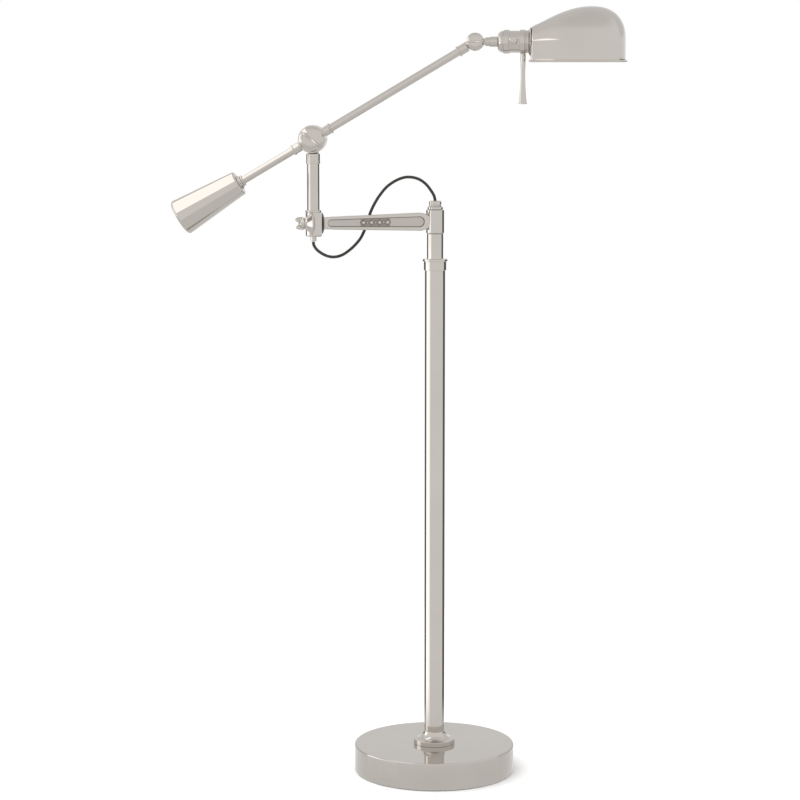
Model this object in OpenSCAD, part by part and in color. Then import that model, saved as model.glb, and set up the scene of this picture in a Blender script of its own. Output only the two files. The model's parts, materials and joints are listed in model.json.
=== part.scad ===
// Adjustable boom-arm floor lamp in polished nickel.
// +Z is up, +X is where the boom points, and the origin is the middle of the base's underside.

/* [Base] */
// Diameter of the round base
base_d = 254; // [220:1:300]
// Height of the base
base_h = 44.5; // [38:0.5:60]
// Wall of the spun base cover
cover_wall = 1.6; // [1.2:0.1:2.5]
// Corner radius at the foot of the base cover
cover_foot_r = 6; // [3:0.5:9]
// Thickness of the felt pad
pad_h = 2.2; // [1.5:0.1:3]

/* [Column] */
// Outside diameter of the column tube
column_d = 31.75; // [28:0.25:40]
// Wall of the column tube
column_wall = 1.5; // [1.2:0.1:2.5]
// Height of the top of the column collar
column_top_z = 821.8; // [600:1:1000]
// Diameter of the foot fitting's flange
foot_d = 65.7; // [55:0.1:80]
// Height of the foot fitting above the base
foot_h = 20.1; // [16:0.1:26]
// How much wider the column's collar is than the column
collar_step = 3.25; // [2:0.25:10]
// Diameter of the column collar
collar_d = column_d + collar_step;
// Height of the column collar, lip included
collar_h = 18; // [14:0.5:24]
// How much narrower the spindle is than the column
spindle_step = 6.35; // [5:0.05:9]
// Outside diameter of the spindle that carries the arm
spindle_d = column_d - spindle_step;
// Length of the spindle between the collar and the arm
spindle_len = 39.2; // [30:0.2:60]
// Diameter of the spindle's journal
journal_d = 16; // [14:0.5:17]

/* [Arm] */
// Length of the arm, from the column's axis to the post's axis
arm_len = 194.6; // [160:0.2:240]
// How far the arm points away from the boom's back end, in degrees
arm_turn = 20; // [0:1:45]
// Height of the arm's hub
hub_h = 36.4; // [30:0.2:44]
// How much wider the arm's hub is than the spindle
hub_step = 2.6; // [1:0.1:6]
// Diameter of the arm's hub
hub_d = spindle_d + hub_step;
// Height of the arm's web at the hub
web_h_hub = 28.8; // [24:0.2:32]
// Height of the arm's web at the elbow
web_h_elbow = 18.8; // [16:0.2:22]
// Thickness of the arm's web
web_t = 15; // [12:0.5:18]
// Depth of the long recess on each side of the web
recess_depth = 2.4; // [1:0.1:4]
// Number of lozenges in the cast ornament
ornament_count = 7; // [3:1:9]

/* [Elbow] */
// Outside diameter of the post
post_d = 19; // [17:0.25:20]
// How much wider the elbow's upright sleeve is than the post
sleeve_step = 4.5; // [3:0.25:8]
// Diameter of the elbow's upright sleeve
sleeve_d = post_d + sleeve_step;
// Height of the elbow's upright sleeve
sleeve_h = 40.4; // [34:0.2:48]
// Small diameter of the elbow's cone
cone_small_d = 17.5; // [14:0.25:20]
// Diameter of the elbow's stud
stud_d = 8; // [6:0.5:9]
// Diameter of the friction washer at the elbow
elbow_washer_d = 32.3; // [26:0.1:36]

/* [Post] */
// Wall of the post
post_wall = 1.5; // [1.2:0.1:2]
// Height of the boom's pivot above the arm's axis
pivot_rise = 129.4; // [110:0.2:170]
// Diameter of the discs at the boom's pivot
pivot_d = 42.6; // [38:0.2:48]
// How much wider the post's top collar is than the post
post_collar_step = 2; // [1.5:0.25:5]
// Diameter of the collar on top of the post
post_collar_d = post_d + post_collar_step;

/* [Boom] */
// Angle of the boom above level at rest, in degrees
boom_rest = 30.6; // [0:0.1:45]
// Outside diameter of the boom tubes
boom_d = 12; // [10:0.5:13]
// Wall of the boom tubes
boom_wall = 1.25; // [1:0.05:1.75]
// Distance from the boom's pivot to the head's pivot
boom_front_len = 290; // [220:1:360]
// Distance from the boom's pivot to the near end of the counterweight
boom_back_len = 131.5; // [110:0.5:160]
// How much wider the collars on the boom's hub are than its tubes
boom_collar_step = 3; // [2:0.25:6]
// Diameter of the collars on the boom's hub
boom_collar_d = boom_d + boom_collar_step;
// How much thicker the boom's hub is than its tubes
boom_hub_step = 1; // [0.5:0.5:4]
// Thickness of the boom's hub
boom_hub_t = boom_d + boom_hub_step;

/* [Counterweight] */
// Length of the conical counterweight
weight_len = 108; // [80:1:140]
// Diameter of the counterweight's narrow end
weight_small_d = 38.5; // [32:0.5:44]
// Diameter of the counterweight's wide end
weight_big_d = 57.6; // [50:0.2:70]

/* [Head] */
// Diameter of the discs at the head's pivot
knuckle_d = 27.3; // [24:0.1:32]
// Diameter of the socket's shell
shell_d = 33; // [30:0.5:38]
// How much wider the socket's two rings are than its shell
socket_ring_step = 3; // [1.5:0.25:9]
// Diameter of the socket's two rings
socket_ring_d = shell_d + socket_ring_step;
// Length of the hanging handle below its ring
handle_len = 75.5; // [50:0.5:90]
// Diameter of the switch knob
switch_d = 13; // [9:0.25:15]

/* [Shade] */
// Length of the shade, from its back wall to its nose
shade_len = 142.3; // [120:0.1:170]
// Radius of the shade at its crown
shade_r = 53; // [46:0.5:60]
// How far the shade's skirt hangs below the socket's axis
shade_drop = 30.6; // [20:0.2:45]
// Thickness of the shade's metal
shade_wall = 1; // [0.8:0.1:1.6]
// How far the rim stands out from the skirt
rim_out = 2.8; // [1.5:0.1:4]
// Height of the rim
rim_h = 3.4; // [2:0.1:5]

/* [Fits] */
// Radial clearance of a running fit
run_gap = 0.05; // [0.03:0.01:0.09]
// Gap between faces that turn past each other
face_gap = 0.15; // [0.1:0.05:0.3]
// Diameter of the flexible link cord
cord_d = 4.6; // [4:0.2:5]

/* [Hidden] */
$fn = 96;

nickel = [0.78, 0.76, 0.73];
small = 0.01;          // how far a cut runs past a face

// Base, from the floor up
cover_z0 = 1.2;
weight_r = base_d / 2 - cover_foot_r - 2;
pocket_r = 32;         // pocket in the weight's underside
pocket_h = 18;
nipple_d = 12.7;
nipple_bore = 9;
base_nut_af = 22;
base_nut_h = 9;
base_washer_d = 38;
base_washer_h = 3;
gland_d = 11;
gland_bore = 7;
gland_z = 12;
gland_flange_d = 15;
gland_flange_h = 2.5;

// Column
socket_depth = foot_h - 5;
column_foot_z = base_h + 5;
collar_z0 = column_top_z - collar_h;
lip_h = 3.9;
lip_d = collar_d + 3.5;
column_end_z = collar_z0 + 8;
plug_len = 25;
plug_d = column_d - 2 * column_wall;
spindle_top_z = column_top_z + spindle_len;
washer_t = 1;
arm_z = spindle_top_z + washer_t + face_gap + hub_h / 2;
hub_top_z = arm_z + hub_h / 2;
ring_h = 4.8;
ring_d = hub_d - 4;
ring_z0 = hub_top_z + face_gap;
cap_z0 = ring_z0 + ring_h;
cap_h = 9.1;
cap_d = 19.4;
cap_roof = 3.4;
spindle_end_z = cap_z0 + cap_h - cap_roof;
spindle_bore = 7;

// Arm, along its own +X with the camera side at +Y
bush_wall = 2;
bush_len = 11;
elbow_gap = 2.15;      // from the sleeve's side to the arm's end
arm_end = arm_len - sleeve_d / 2 - elbow_gap;
stud_grip = 30;        // how far the stud goes into the arm
recess_start = hub_d / 2 + 4.9;
recess_end = arm_end - 7.4;
recess_rim = 6.15;     // height of the web's rim above and below the recess
ornament_h = 1.5;

// Elbow, in the arm's frame with its origin on the post's axis
elbow_washer_t = 2.4;
elbow_flat = -(sleeve_d / 2 + elbow_gap - elbow_washer_t - 2 * face_gap);
elbow_cheek = sleeve_d / 2 - 0.05;   // half the width of the block towards the arm
cone_x0 = 4.4;
cone_x1 = 15.4;
cone_rim = 1.4;
post_seat = stud_d / 2 + 2;
wire_bore = 15;
ferrule_d = 8.8;
ferrule_h = 7.6;
ferrule_thread_d = 7;
ferrule_bore = 5;
knob_x0 = cone_x1 + face_gap;

// Post and the boom's pivot, seen from the front: -Y is nearer
post_pos = [-arm_len * cos(arm_turn), -arm_len * sin(arm_turn), 0];
pivot_z = arm_z + pivot_rise;
boom_y = -10;          // the boom's plane, from the post's axis
pivot_bolt_d = 8;
hub_back_y = boom_y + boom_hub_t / 2;
pivot_washer_t = 1.3;
lug_front_y = hub_back_y + face_gap + pivot_washer_t;
lug_t = 11.5;
lug_back_y = lug_front_y + lug_t;
post_collar_z = pivot_rise - 37.5;
post_collar_top = pivot_rise - pivot_d / 2 - 0.8;
post_top = pivot_rise - 25;
rear_nut_d = 16;
rear_nut_h = 6;
wing_disc_d = 38.6;
wing_disc_h = 6.5;
wing_len = 36;
wing_h = 11.5;
wing_t = 4;

// Boom, along its own +X from the pivot
boom_collar_end = 34.6;
boom_flare_d = boom_collar_d + 1.7;
boom_flare_t = 2;
tube_seat = 16;
end_collar_len = 16;
end_collar_x = boom_front_len - 30;
end_tube_x = boom_front_len - 16;
neck_len = 4.5;
neck_d = 22;
lock_ring_t = 2.6;
lock_ring_d = 17.4;
weight_x = -boom_back_len;

// Head, along +X from the head's pivot, with the boom's plane at y = 0
knuckle_half = 5.6;
knuckle_bolt_d = 5;
knuckle_washer_t = 1;
knuckle_blade = 31;    // from tip to tip of the wing nut
head_neck_x = 11;
head_neck_d = 13.5;
neck_ring_x = 22.2;
neck_ring_d = 15.5;
cap_x = 33.9;
first_ring_x = 43.1;
first_ring_len = 8.8;
shell_x = first_ring_x + 2;
shade_ring_x = 67.8;
shade_ring_len = 7.7;
shell_wall = 0.9;
flange_x = 80.9;
flange_t = 4.6;
flange_d = 45.6;
shade_x = flange_x + flange_t - 0.5;   // the shade's back wall lies on the gallery
gallery_r = 15;
liner_d = 26.4;
liner_wall = 0.6;
holder_d = 28.8;
holder_x = shell_x + 20;
holder_floor = 3;
holder_end = shade_x + 4.6;
contact_t = 1.2;
bulb_x = holder_end + 2;
bulb_d = 36;
bulb_len = 62;
switch_x = first_ring_x + first_ring_len + switch_d / 2 + 0.3;
switch_up = 1.8;
switch_h = 7;
handle_x = shade_ring_x + 4.7;
handle_top_d = 8;
handle_end_d = 12;
screw_head_d = 4;

// The link cord's route in the arm's frame: along the arm, towards its back, and up from its axis
CORD_ROUTE = [
    [194.6, 0, -28.6], [194.2, -0.5, -33], [190.5, -2.5, -39], [185, -5, -44], [177, -8, -49],
    [168, -10, -52.5], [158, -11.5, -53.5], [147, -12, -51], [136, -12.5, -44.5], [126, -12.5, -36],
    [117, -12.5, -25.5], [111, -12.5, -14], [106, -12.5, -1], [102, -12.5, 12], [95.5, -12.5, 26],
    [86.5, -12, 40.5], [75, -11, 54], [61, -10, 63.5], [47, -8.5, 68.5], [35, -6.5, 68.5],
    [24, -4.5, 65], [14.5, -2.5, 58], [7, -1, 48.5], [2, -0.2, 40], [0, 0, 32.4],
];

// ---- shared shapes ----

// A turned piece: [radius, height] points around Z.
module turned(outline) {
    rotate_extrude() polygon(outline);
}

// A turned piece lying along X.
module turned_x(outline) {
    rotate([0, 90, 0]) rotate([0, 0, 90]) turned(outline);
}

// A plain tube standing on z0.
module tube(d, bore, z0, length) {
    translate([0, 0, z0]) difference() {
        cylinder(d = d, h = length);
        translate([0, 0, -small]) cylinder(d = bore, h = length + 2 * small);
    }
}

// A plain tube along X.
module tube_x(d, bore, x0, length) {
    rotate([0, 90, 0]) tube(d, bore, x0, length);
}

// A hole along Y, from y0 to y1.
module hole_y(d, y0, y1) {
    translate([0, y1, 0]) rotate([90, 0, 0]) cylinder(d = d, h = y1 - y0);
}

// Points along an arc in the plane.
function arc(cx, cy, r, a0, a1, n) =
    [for (i = [0:n]) [cx + r * cos(a0 + (a1 - a0) * i / n), cy + r * sin(a0 + (a1 - a0) * i / n)]];

// The winged thumb nut that all three clamps share, turned around +Z from its face at z = 0.
module wing_nut(disc_d, dome_h, blade_len, top, blade_t, bolt_d) {
    r = disc_d / 2;
    crown = 0.42 * r;
    saddle_r = (top - dome_h) * 1.1;
    difference() {
        union() {
            turned(concat([[0, 0], [r - 0.6, 0], [r, 0.6], [r, 1.6]],
                          [for (i = [1:8]) [crown + (r - crown) * cos(i * 90 / 8),
                                            1.6 + (dome_h - 1.6) * sin(i * 90 / 8)]],
                          [[0, dome_h]]));
            difference() {
                translate([-blade_len / 2, -blade_t / 2, 0.6]) cube([blade_len, blade_t, top - 0.6]);
                translate([0, blade_t, top + 0.2]) rotate([90, 0, 0])
                    cylinder(r = saddle_r, h = 2 * blade_t);
                for (side = [-1, 1])
                    translate([side * (blade_len / 2 + 1), blade_t, -1]) rotate([90, 0, 0])
                        cylinder(r = dome_h, h = 2 * blade_t);
            }
        }
        translate([0, 0, -small]) cylinder(d = bolt_d + 2 * run_gap, h = dome_h - 1.5);
    }
}

// ---- frames of the moving pieces ----

module arm_frame() {
    translate([0, 0, arm_z]) rotate([0, 0, 180 + arm_turn]) children();
}

module elbow_frame() {
    arm_frame() translate([arm_len, 0, 0]) children();
}

module post_frame() {
    translate(post_pos + [0, 0, arm_z]) children();
}

module pivot_frame() {
    post_frame() translate([0, 0, pivot_rise]) children();
}

module boom_frame() {
    pivot_frame() translate([0, boom_y, 0]) rotate([0, -boom_rest, 0]) children();
}

module head_frame() {
    boom_frame() translate([boom_front_len, 0, 0]) rotate([0, boom_rest, 0]) children();
}

// ---- base ----

// Spun cover: rounded foot, small radius at the top edge.
module base_cover() {
    r = base_d / 2;
    lip_r = r - cover_foot_r;
    color(nickel) difference() {
        turned(concat(
            [[gland_d, base_h], [gland_d, base_h - cover_wall]],
            [[r - cover_wall, base_h - cover_wall]],
            arc(lip_r, cover_z0 + cover_foot_r, cover_foot_r - cover_wall, 0, -90, 8),
            arc(lip_r, cover_z0 + cover_foot_r, cover_foot_r, -90, 0, 8),
            arc(r - 2, base_h - 2, 2, 0, 90, 6)));
        translate([0, r + 1, gland_z]) rotate([90, 0, 0]) cylinder(d = gland_d, h = 2 * cover_foot_r);
    }
}

// Cast weight with a pocket for the nut and a channel for the cord.
module base_weight() {
    top = base_h - cover_wall;
    color([0.25, 0.25, 0.26]) difference() {
        translate([0, 0, pad_h]) cylinder(r = weight_r, h = top - pad_h);
        translate([0, 0, -small]) cylinder(r = pocket_r, h = pad_h + pocket_h);
        translate([0, 0, -small]) cylinder(d = nipple_d, h = base_h);
        translate([-gland_d / 2, 0, -small]) cube([gland_d, base_d, gland_z + gland_d / 2]);
        translate([0, weight_r + 1, gland_z]) rotate([90, 0, 0]) cylinder(d = gland_d, h = 10);
    }
}

module base_pad() {
    color([0.12, 0.12, 0.12]) cylinder(r = weight_r, h = pad_h);
}

module base_washer() {
    z = pad_h + pocket_h - base_washer_h - small;
    color("silver") tube(base_washer_d, nipple_d, z, base_washer_h);
}

module base_nut() {
    z = pad_h + pocket_h - base_washer_h - small - base_nut_h;
    color("silver") translate([0, 0, z]) difference() {
        cylinder(d = base_nut_af / cos(30), h = base_nut_h, $fn = 6);
        translate([0, 0, -small]) cylinder(d = nipple_d, h = base_nut_h + 2 * small);
    }
}

// Bush in the rear of the base for the supply cord.
module cord_gland() {
    y = base_d / 2;
    color([0.08, 0.08, 0.08]) translate([0, y + gland_flange_h, gland_z]) rotate([90, 0, 0])
        difference() {
            union() {
                cylinder(d = gland_flange_d, h = gland_flange_h);
                cylinder(d = gland_d, h = gland_flange_h + cover_foot_r + 1.5);
            }
            translate([0, 0, -small]) cylinder(d = gland_bore, h = 30);
        }
}

// ---- column ----

// Flange with a concave bell and the socket that the column stands in.
module foot_fitting() {
    bell_r = column_d / 2 + 1.1;
    flange_h = 7.6;
    step = 2.6;
    bell_z = base_h + flange_h;
    rise = foot_h - flange_h;
    run = foot_d / 2 - step - bell_r;
    color(nickel) difference() {
        turned(concat(
            [[0, base_h], [foot_d / 2 - 0.8, base_h], [foot_d / 2, base_h + 0.8],
             [foot_d / 2, bell_z - 1.2], [foot_d / 2 - 1.2, bell_z]],
            [for (i = [0:8]) [bell_r + run * (1 - sin(i * 90 / 8)),
                              bell_z + rise * (1 - cos(i * 90 / 8))]],
            [[0, base_h + foot_h]]));
        translate([0, 0, column_foot_z]) cylinder(d = column_d, h = foot_h);
        cylinder(d = nipple_d, h = base_h + foot_h);
    }
}

// Hollow threaded nipple that ties the base to the column.
module tie_nipple() {
    z = pad_h + pocket_h - base_washer_h - base_nut_h - 3;
    color("silver") tube(nipple_d, nipple_bore, z, column_foot_z + plug_len + 6 - z);
}

module column_plug() {
    color("goldenrod") tube(plug_d, nipple_d, column_foot_z, plug_len);
}

module column_tube() {
    color(nickel) tube(column_d, column_d - 2 * column_wall, column_foot_z,
                       column_end_z - column_foot_z);
}

module column_collar() {
    color(nickel) difference() {
        turned([[0, collar_z0], [collar_d / 2 - 0.4, collar_z0], [collar_d / 2, collar_z0 + 0.4],
                [collar_d / 2, column_top_z - lip_h], [lip_d / 2 - 0.6, column_top_z - lip_h],
                [lip_d / 2, column_top_z - lip_h + 0.6], [lip_d / 2, column_top_z - 0.8],
                [lip_d / 2 - 0.8, column_top_z], [0, column_top_z]]);
        translate([0, 0, collar_z0 - small]) cylinder(d = column_d, h = column_end_z - collar_z0 + small);
        translate([0, 0, collar_z0]) cylinder(d = spindle_d, h = collar_h + 1);
    }
}

// Turned spindle: plug, shank and journal, bored for the cord.
module spindle() {
    color(nickel) difference() {
        union() {
            translate([0, 0, column_end_z - plug_len]) cylinder(d = plug_d, h = plug_len);
            translate([0, 0, column_end_z - 1]) cylinder(d = spindle_d, h = spindle_top_z - column_end_z + 1);
            translate([0, 0, spindle_top_z - 1])
                cylinder(d = journal_d, h = spindle_end_z - spindle_top_z + 1);
        }
        translate([0, 0, column_end_z - plug_len - 1]) cylinder(d = spindle_bore, h = base_d);
    }
}

module thrust_washer() {
    color([0.85, 0.83, 0.75]) tube(hub_d - 1.6, journal_d, spindle_top_z, washer_t);
}

module spindle_ring() {
    color(nickel) difference() {
        turned([[0, ring_z0], [ring_d / 2 - 1, ring_z0], [ring_d / 2, ring_z0 + 1],
                [ring_d / 2, ring_z0 + ring_h - 1.2], [ring_d / 2 - 1.2, ring_z0 + ring_h],
                [0, ring_z0 + ring_h]]);
        cylinder(d = journal_d, h = cap_z0 + 1);
    }
}

// Cap nut with a groove round it and a hole for the cord.
module spindle_cap() {
    groove_z = cap_z0 + 1.8;
    groove = 1.3;
    r = cap_d / 2;
    top = cap_z0 + cap_h;
    color(nickel) difference() {
        turned([[0, cap_z0], [r - 0.3, cap_z0], [r, cap_z0 + 0.3], [r, groove_z], [r - 1, groove_z],
                [r - 1, groove_z + groove], [r, groove_z + groove], [r, top - 2], [r - 2, top], [0, top]]);
        translate([0, 0, cap_z0 - small]) cylinder(d = journal_d, h = cap_h - cap_roof + small);
        cylinder(d = cord_d + 0.6, h = top + 1);
    }
}

// ---- arm ----

function web_half(x) =
    (web_h_hub + (web_h_elbow - web_h_hub) * (x - hub_d / 2) / (arm_end - hub_d / 2)) / 2;

// The long recess: an outline with round ends that follows the web's taper.
module recess_outline() {
    a = web_half(recess_start) - recess_rim;
    b = web_half(recess_end) - recess_rim + 2;
    polygon(concat(arc(recess_start + a, 0, a, 90, 270, 12),
                   arc(recess_end - b, 0, b, -90, 90, 12)));
}

module arm_casting() {
    deep = web_t / 2 - recess_depth;
    middle = arm_len / 2;
    pitch = 6.4;
    color(nickel) {
        difference() {
            union() {
                translate([0, 0, -hub_h / 2]) cylinder(d = hub_d, h = hub_h);
                translate([0, web_t / 2, 0]) rotate([90, 0, 0]) linear_extrude(web_t) polygon([
                    [0, -web_half(hub_d / 2)], [0, web_half(hub_d / 2)],
                    [arm_end, web_half(arm_end)], [arm_end, -web_half(arm_end)]]);
            }
            for (side = [0, 1]) mirror([0, side, 0])
                translate([0, deep + recess_depth + 1, 0]) rotate([90, 0, 0])
                    linear_extrude(recess_depth + 1) recess_outline();
            translate([0, 0, -hub_h]) cylinder(d = journal_d + 2 * bush_wall, h = 2 * hub_h);
            translate([arm_end - stud_grip, 0, 0]) rotate([0, 90, 0]) cylinder(d = stud_d, h = stud_grip + 1);
        }
        for (i = [0:ornament_count - 1])
            translate([middle + (i - (ornament_count - 1) / 2) * pitch, deep, 0]) rotate([-90, 0, 0])
                cylinder(d = i % 2 == 0 ? 7.4 : 4, h = ornament_h, $fn = 4);
    }
}

// Two plain bushes pressed into the ends of the hub.
module arm_bushes() {
    color("goldenrod") for (z = [-hub_h / 2, hub_h / 2 - bush_len])
        tube(journal_d + 2 * bush_wall, journal_d + 2 * run_gap, arm_z + z, bush_len);
}

// Stud fixed in the arm's end, through the elbow and into its wing nut.
module elbow_stud() {
    length = stud_grip + arm_len - arm_end + knob_x0 + 4;
    color("silver") arm_frame() translate([arm_end - stud_grip, 0, 0]) rotate([0, 90, 0])
        cylinder(d = stud_d, h = length);
}

module elbow_washer() {
    color([0.1, 0.09, 0.09]) arm_frame() tube_x(elbow_washer_d, stud_d, arm_end, elbow_washer_t);
}

// ---- elbow ----

// Sleeve for the post, with a cone for the wing nut and a tall square block towards the arm.
module elbow_casting() {
    h = sleeve_h / 2;
    r = sleeve_d / 2;
    color(nickel) elbow_frame() difference() {
        union() {
            turned([[0, -h], [r - 2.2, -h], [r, -h + 2.2], [r, h - 3.2], [r - 0.5, h - 2.7],
                    [r + 0.5, h - 2.2], [r + 0.5, h - 0.5], [r, h], [0, h]]);
            turned_x([[0, 0], [h - 6, 0], [h - 0.6, cone_x0 - 1], [h, cone_x0], [h - 0.5, cone_x0 + cone_rim],
                      [cone_small_d / 2 + 1.5, cone_x1 - 3.5], [cone_small_d / 2, cone_x1 - 1.5],
                      [cone_small_d / 2, cone_x1], [0, cone_x1]]);
            translate([0, elbow_cheek, 0]) rotate([90, 0, 0]) linear_extrude(2 * elbow_cheek)
                polygon([[0, -h], [elbow_flat + 2, -h], [elbow_flat, 2 - h],
                         [elbow_flat, h - 3], [0, h - 3]]);
        }
        translate([elbow_flat - 2 * r, -2 * r, -h - 1]) cube([2 * r, 4 * r, 2 * h + 2]);
        translate([0, 0, post_seat]) cylinder(d = post_d + 2 * run_gap, h = sleeve_h);
        translate([0, 0, -h + 5]) cylinder(d = wire_bore, h = h);
        translate([0, 0, -h - 1]) cylinder(d = ferrule_thread_d, h = h);
        translate([-sleeve_h, 0, 0]) rotate([0, 90, 0]) cylinder(d = stud_d + 2 * run_gap, h = 2 * sleeve_h);
        translate([0, 0, h - 6]) hole_y(set_screw_d, -sleeve_d, 0);
    }
}

set_screw_d = 4;
groove_depth = 0.7;
groove_z = sleeve_h / 2 - 6;

// Grub screw whose tip rides in the post's groove.
module post_set_screw() {
    tip = post_d / 2 - groove_depth + face_gap;
    color("dimgray") elbow_frame() translate([0, 0, groove_z]) hole_y(set_screw_d, -sleeve_d / 2, -tip);
}

// Nipple under the elbow where the cord comes out.
module cord_ferrule() {
    h = sleeve_h / 2;
    color(nickel) elbow_frame() difference() {
        union() {
            translate([0, 0, -h - ferrule_h]) turned([[0, 0], [ferrule_d / 2 - 1, 0], [ferrule_d / 2, 1],
                [ferrule_d / 2, ferrule_h], [0, ferrule_h]]);
            translate([0, 0, -h - 1]) cylinder(d = ferrule_thread_d, h = 6);
        }
        translate([0, 0, -2 * h]) cylinder(d = ferrule_bore, h = 2 * h);
    }
}

module elbow_wing_nut() {
    color(nickel) elbow_frame() translate([knob_x0, 0, 0]) rotate([0, 90, 0]) rotate([0, 0, 25])
        wing_nut(18, 7, 21, 12.6, 3, stud_d);
}

// ---- post ----

module post_tube() {
    z0 = post_seat + face_gap;
    color(nickel) post_frame() difference() {
        tube(post_d, post_d - 2 * post_wall, z0, post_top - z0);
        difference() {
            translate([0, 0, groove_z - set_screw_d / 2 - face_gap])
                cylinder(d = post_d + 1, h = set_screw_d + 2 * face_gap);
            cylinder(d = post_d - 2 * groove_depth, h = sleeve_h);
        }
    }
}

// Collar on the post, carrying the rear disc of the boom's pivot.
module post_head() {
    r = post_collar_d / 2;
    color(nickel) post_frame() difference() {
        union() {
            turned([[0, post_collar_z], [r, post_collar_z], [r + 0.3, post_collar_z + 0.5],
                    [r + 0.3, post_collar_z + 3], [r, post_collar_z + 3.4], [r, post_collar_top],
                    [0, post_collar_top]]);
            translate([0, 0, pivot_rise]) translate([0, lug_back_y, 0]) rotate([90, 0, 0])
                cylinder(d = pivot_d, h = lug_t);
            intersection() {
                cylinder(d = post_collar_d, h = pivot_rise - 10);
                translate([-r, lug_front_y, post_collar_top - 1]) cube([2 * r, 2 * r, 14]);
            }
        }
        translate([0, 0, post_collar_z - small]) cylinder(d = post_d, h = post_top - post_collar_z + small);
        translate([0, 0, pivot_rise]) hole_y(pivot_bolt_d, lug_front_y - 1, lug_back_y + 1);
        translate([0, lug_front_y + lug_t / 2, post_top - 1]) cylinder(d = 6, h = 16);
    }
}

module pivot_bolt() {
    front = boom_y - boom_hub_t / 2 - face_gap - wing_disc_h + 2.2;
    color("silver") pivot_frame() hole_y(pivot_bolt_d, front, lug_back_y + rear_nut_h - 2);
}

module pivot_washer() {
    color([0.1, 0.09, 0.09]) pivot_frame() difference() {
        hole_y(pivot_d - 5, lug_front_y - pivot_washer_t, lug_front_y);
        hole_y(pivot_bolt_d, lug_front_y - 5, lug_front_y + 5);
    }
}

module pivot_rear_nut() {
    r = rear_nut_d / 2;
    color(nickel) pivot_frame() translate([0, lug_back_y, 0]) rotate([-90, 0, 0]) difference() {
        turned(concat([[0, 0], [r, 0], [r, 2]],
                      [for (i = [1:8]) [r * cos(i * 90 / 8), 2 + (rear_nut_h - 2) * sin(i * 90 / 8)]]));
        translate([0, 0, -small]) cylinder(d = pivot_bolt_d, h = rear_nut_h - 2 + small);
    }
}

module pivot_wing_nut() {
    color(nickel) pivot_frame() translate([0, boom_y - boom_hub_t / 2 - face_gap, 0])
        rotate([90, 0, 0]) rotate([0, 0, -38])
            wing_nut(wing_disc_d, wing_disc_h, wing_len, wing_h, wing_t, pivot_bolt_d);
}

// ---- boom ----

module boom_hub() {
    r = boom_collar_d / 2;
    hub_flat = pivot_d / 2 + 0.5;
    color(nickel) boom_frame() difference() {
        union() {
            hole_y(pivot_d, -boom_hub_t / 2, boom_hub_t / 2);
            for (side = [0, 1]) mirror([side, 0, 0])
                turned_x([[0, 0], [r, 0], [r, boom_collar_end - boom_flare_t - 1],
                          [boom_flare_d / 2, boom_collar_end - boom_flare_t],
                          [boom_flare_d / 2, boom_collar_end - 0.5], [r, boom_collar_end],
                          [0, boom_collar_end]]);
        }
        hole_y(pivot_bolt_d + 2 * run_gap, -boom_hub_t, boom_hub_t);
        for (side = [-1, 1])
            translate([-hub_flat, side * (boom_hub_t / 2 + r) - r, -r - 1])
                cube([2 * hub_flat, 2 * r, 2 * r + 2]);
        for (side = [0, 1]) mirror([side, 0, 0]) translate([tube_seat, 0, 0]) rotate([0, 90, 0])
            cylinder(d = boom_d, h = boom_collar_end);
    }
}

module boom_front_tube() {
    color(nickel) boom_frame() tube_x(boom_d, boom_d - 2 * boom_wall, tube_seat, end_tube_x - tube_seat);
}

module boom_back_tube() {
    x0 = weight_x - 30;
    color(nickel) boom_frame() tube_x(boom_d, boom_d - 2 * boom_wall, x0, -tube_seat - x0);
}

// Collar on the boom's front end with its half of the head's pivot.
module boom_end_lug() {
    r = boom_collar_d / 2;
    x1 = end_collar_x + end_collar_len;
    color(nickel) boom_frame() difference() {
        union() {
            turned_x([[0, end_collar_x], [r + 0.9, end_collar_x + 0.4], [r + 0.9, end_collar_x + 2],
                      [r, end_collar_x + 2.8], [r, x1], [0, x1]]);
            translate([boom_front_len, 0, 0]) hole_y(knuckle_d, face_gap + knuckle_washer_t, knuckle_half);
            intersection() {
                translate([x1 - 1, face_gap + knuckle_washer_t, -r])
                    cube([boom_front_len - x1 + 1, knuckle_half - face_gap - knuckle_washer_t, 2 * r]);
                rotate([0, 90, 0]) cylinder(r = r, h = boom_front_len);
            }
        }
        tube_x(boom_d, 0, end_collar_x - small, end_tube_x - end_collar_x + small);
        translate([boom_front_len, 0, 0]) hole_y(knuckle_bolt_d, -1, knuckle_half + 1);
        translate([boom_front_len, 0, 0])
            hole_y(knuckle_d + 2 * face_gap, -r - 1, face_gap + knuckle_washer_t);
    }
}

// Solid conical counterweight with a rounded back edge.
module counterweight() {
    a = weight_small_d / 2;
    b = weight_big_d / 2;
    x1 = weight_x - weight_len;
    color(nickel) boom_frame() difference() {
        turned_x(concat([[0, weight_x], [a - 2, weight_x], [a, weight_x - 2]],
                        arc(b - 3.5, x1 + 3.5, 3.5, 10, -90, 8), [[0, x1]]));
        rotate([0, 90, 0]) translate([0, 0, weight_x - 30]) cylinder(d = boom_d, h = 40);
    }
}

module weight_neck() {
    r = neck_d / 2;
    color(nickel) boom_frame() difference() {
        turned_x([[0, weight_x], [r, weight_x], [r, weight_x + 1.5], [r - 1.6, weight_x + 3],
                  [r - 1.6, weight_x + neck_len], [0, weight_x + neck_len]]);
        tube_x(boom_d, 0, weight_x - 1, neck_len + 2);
    }
}

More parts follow.
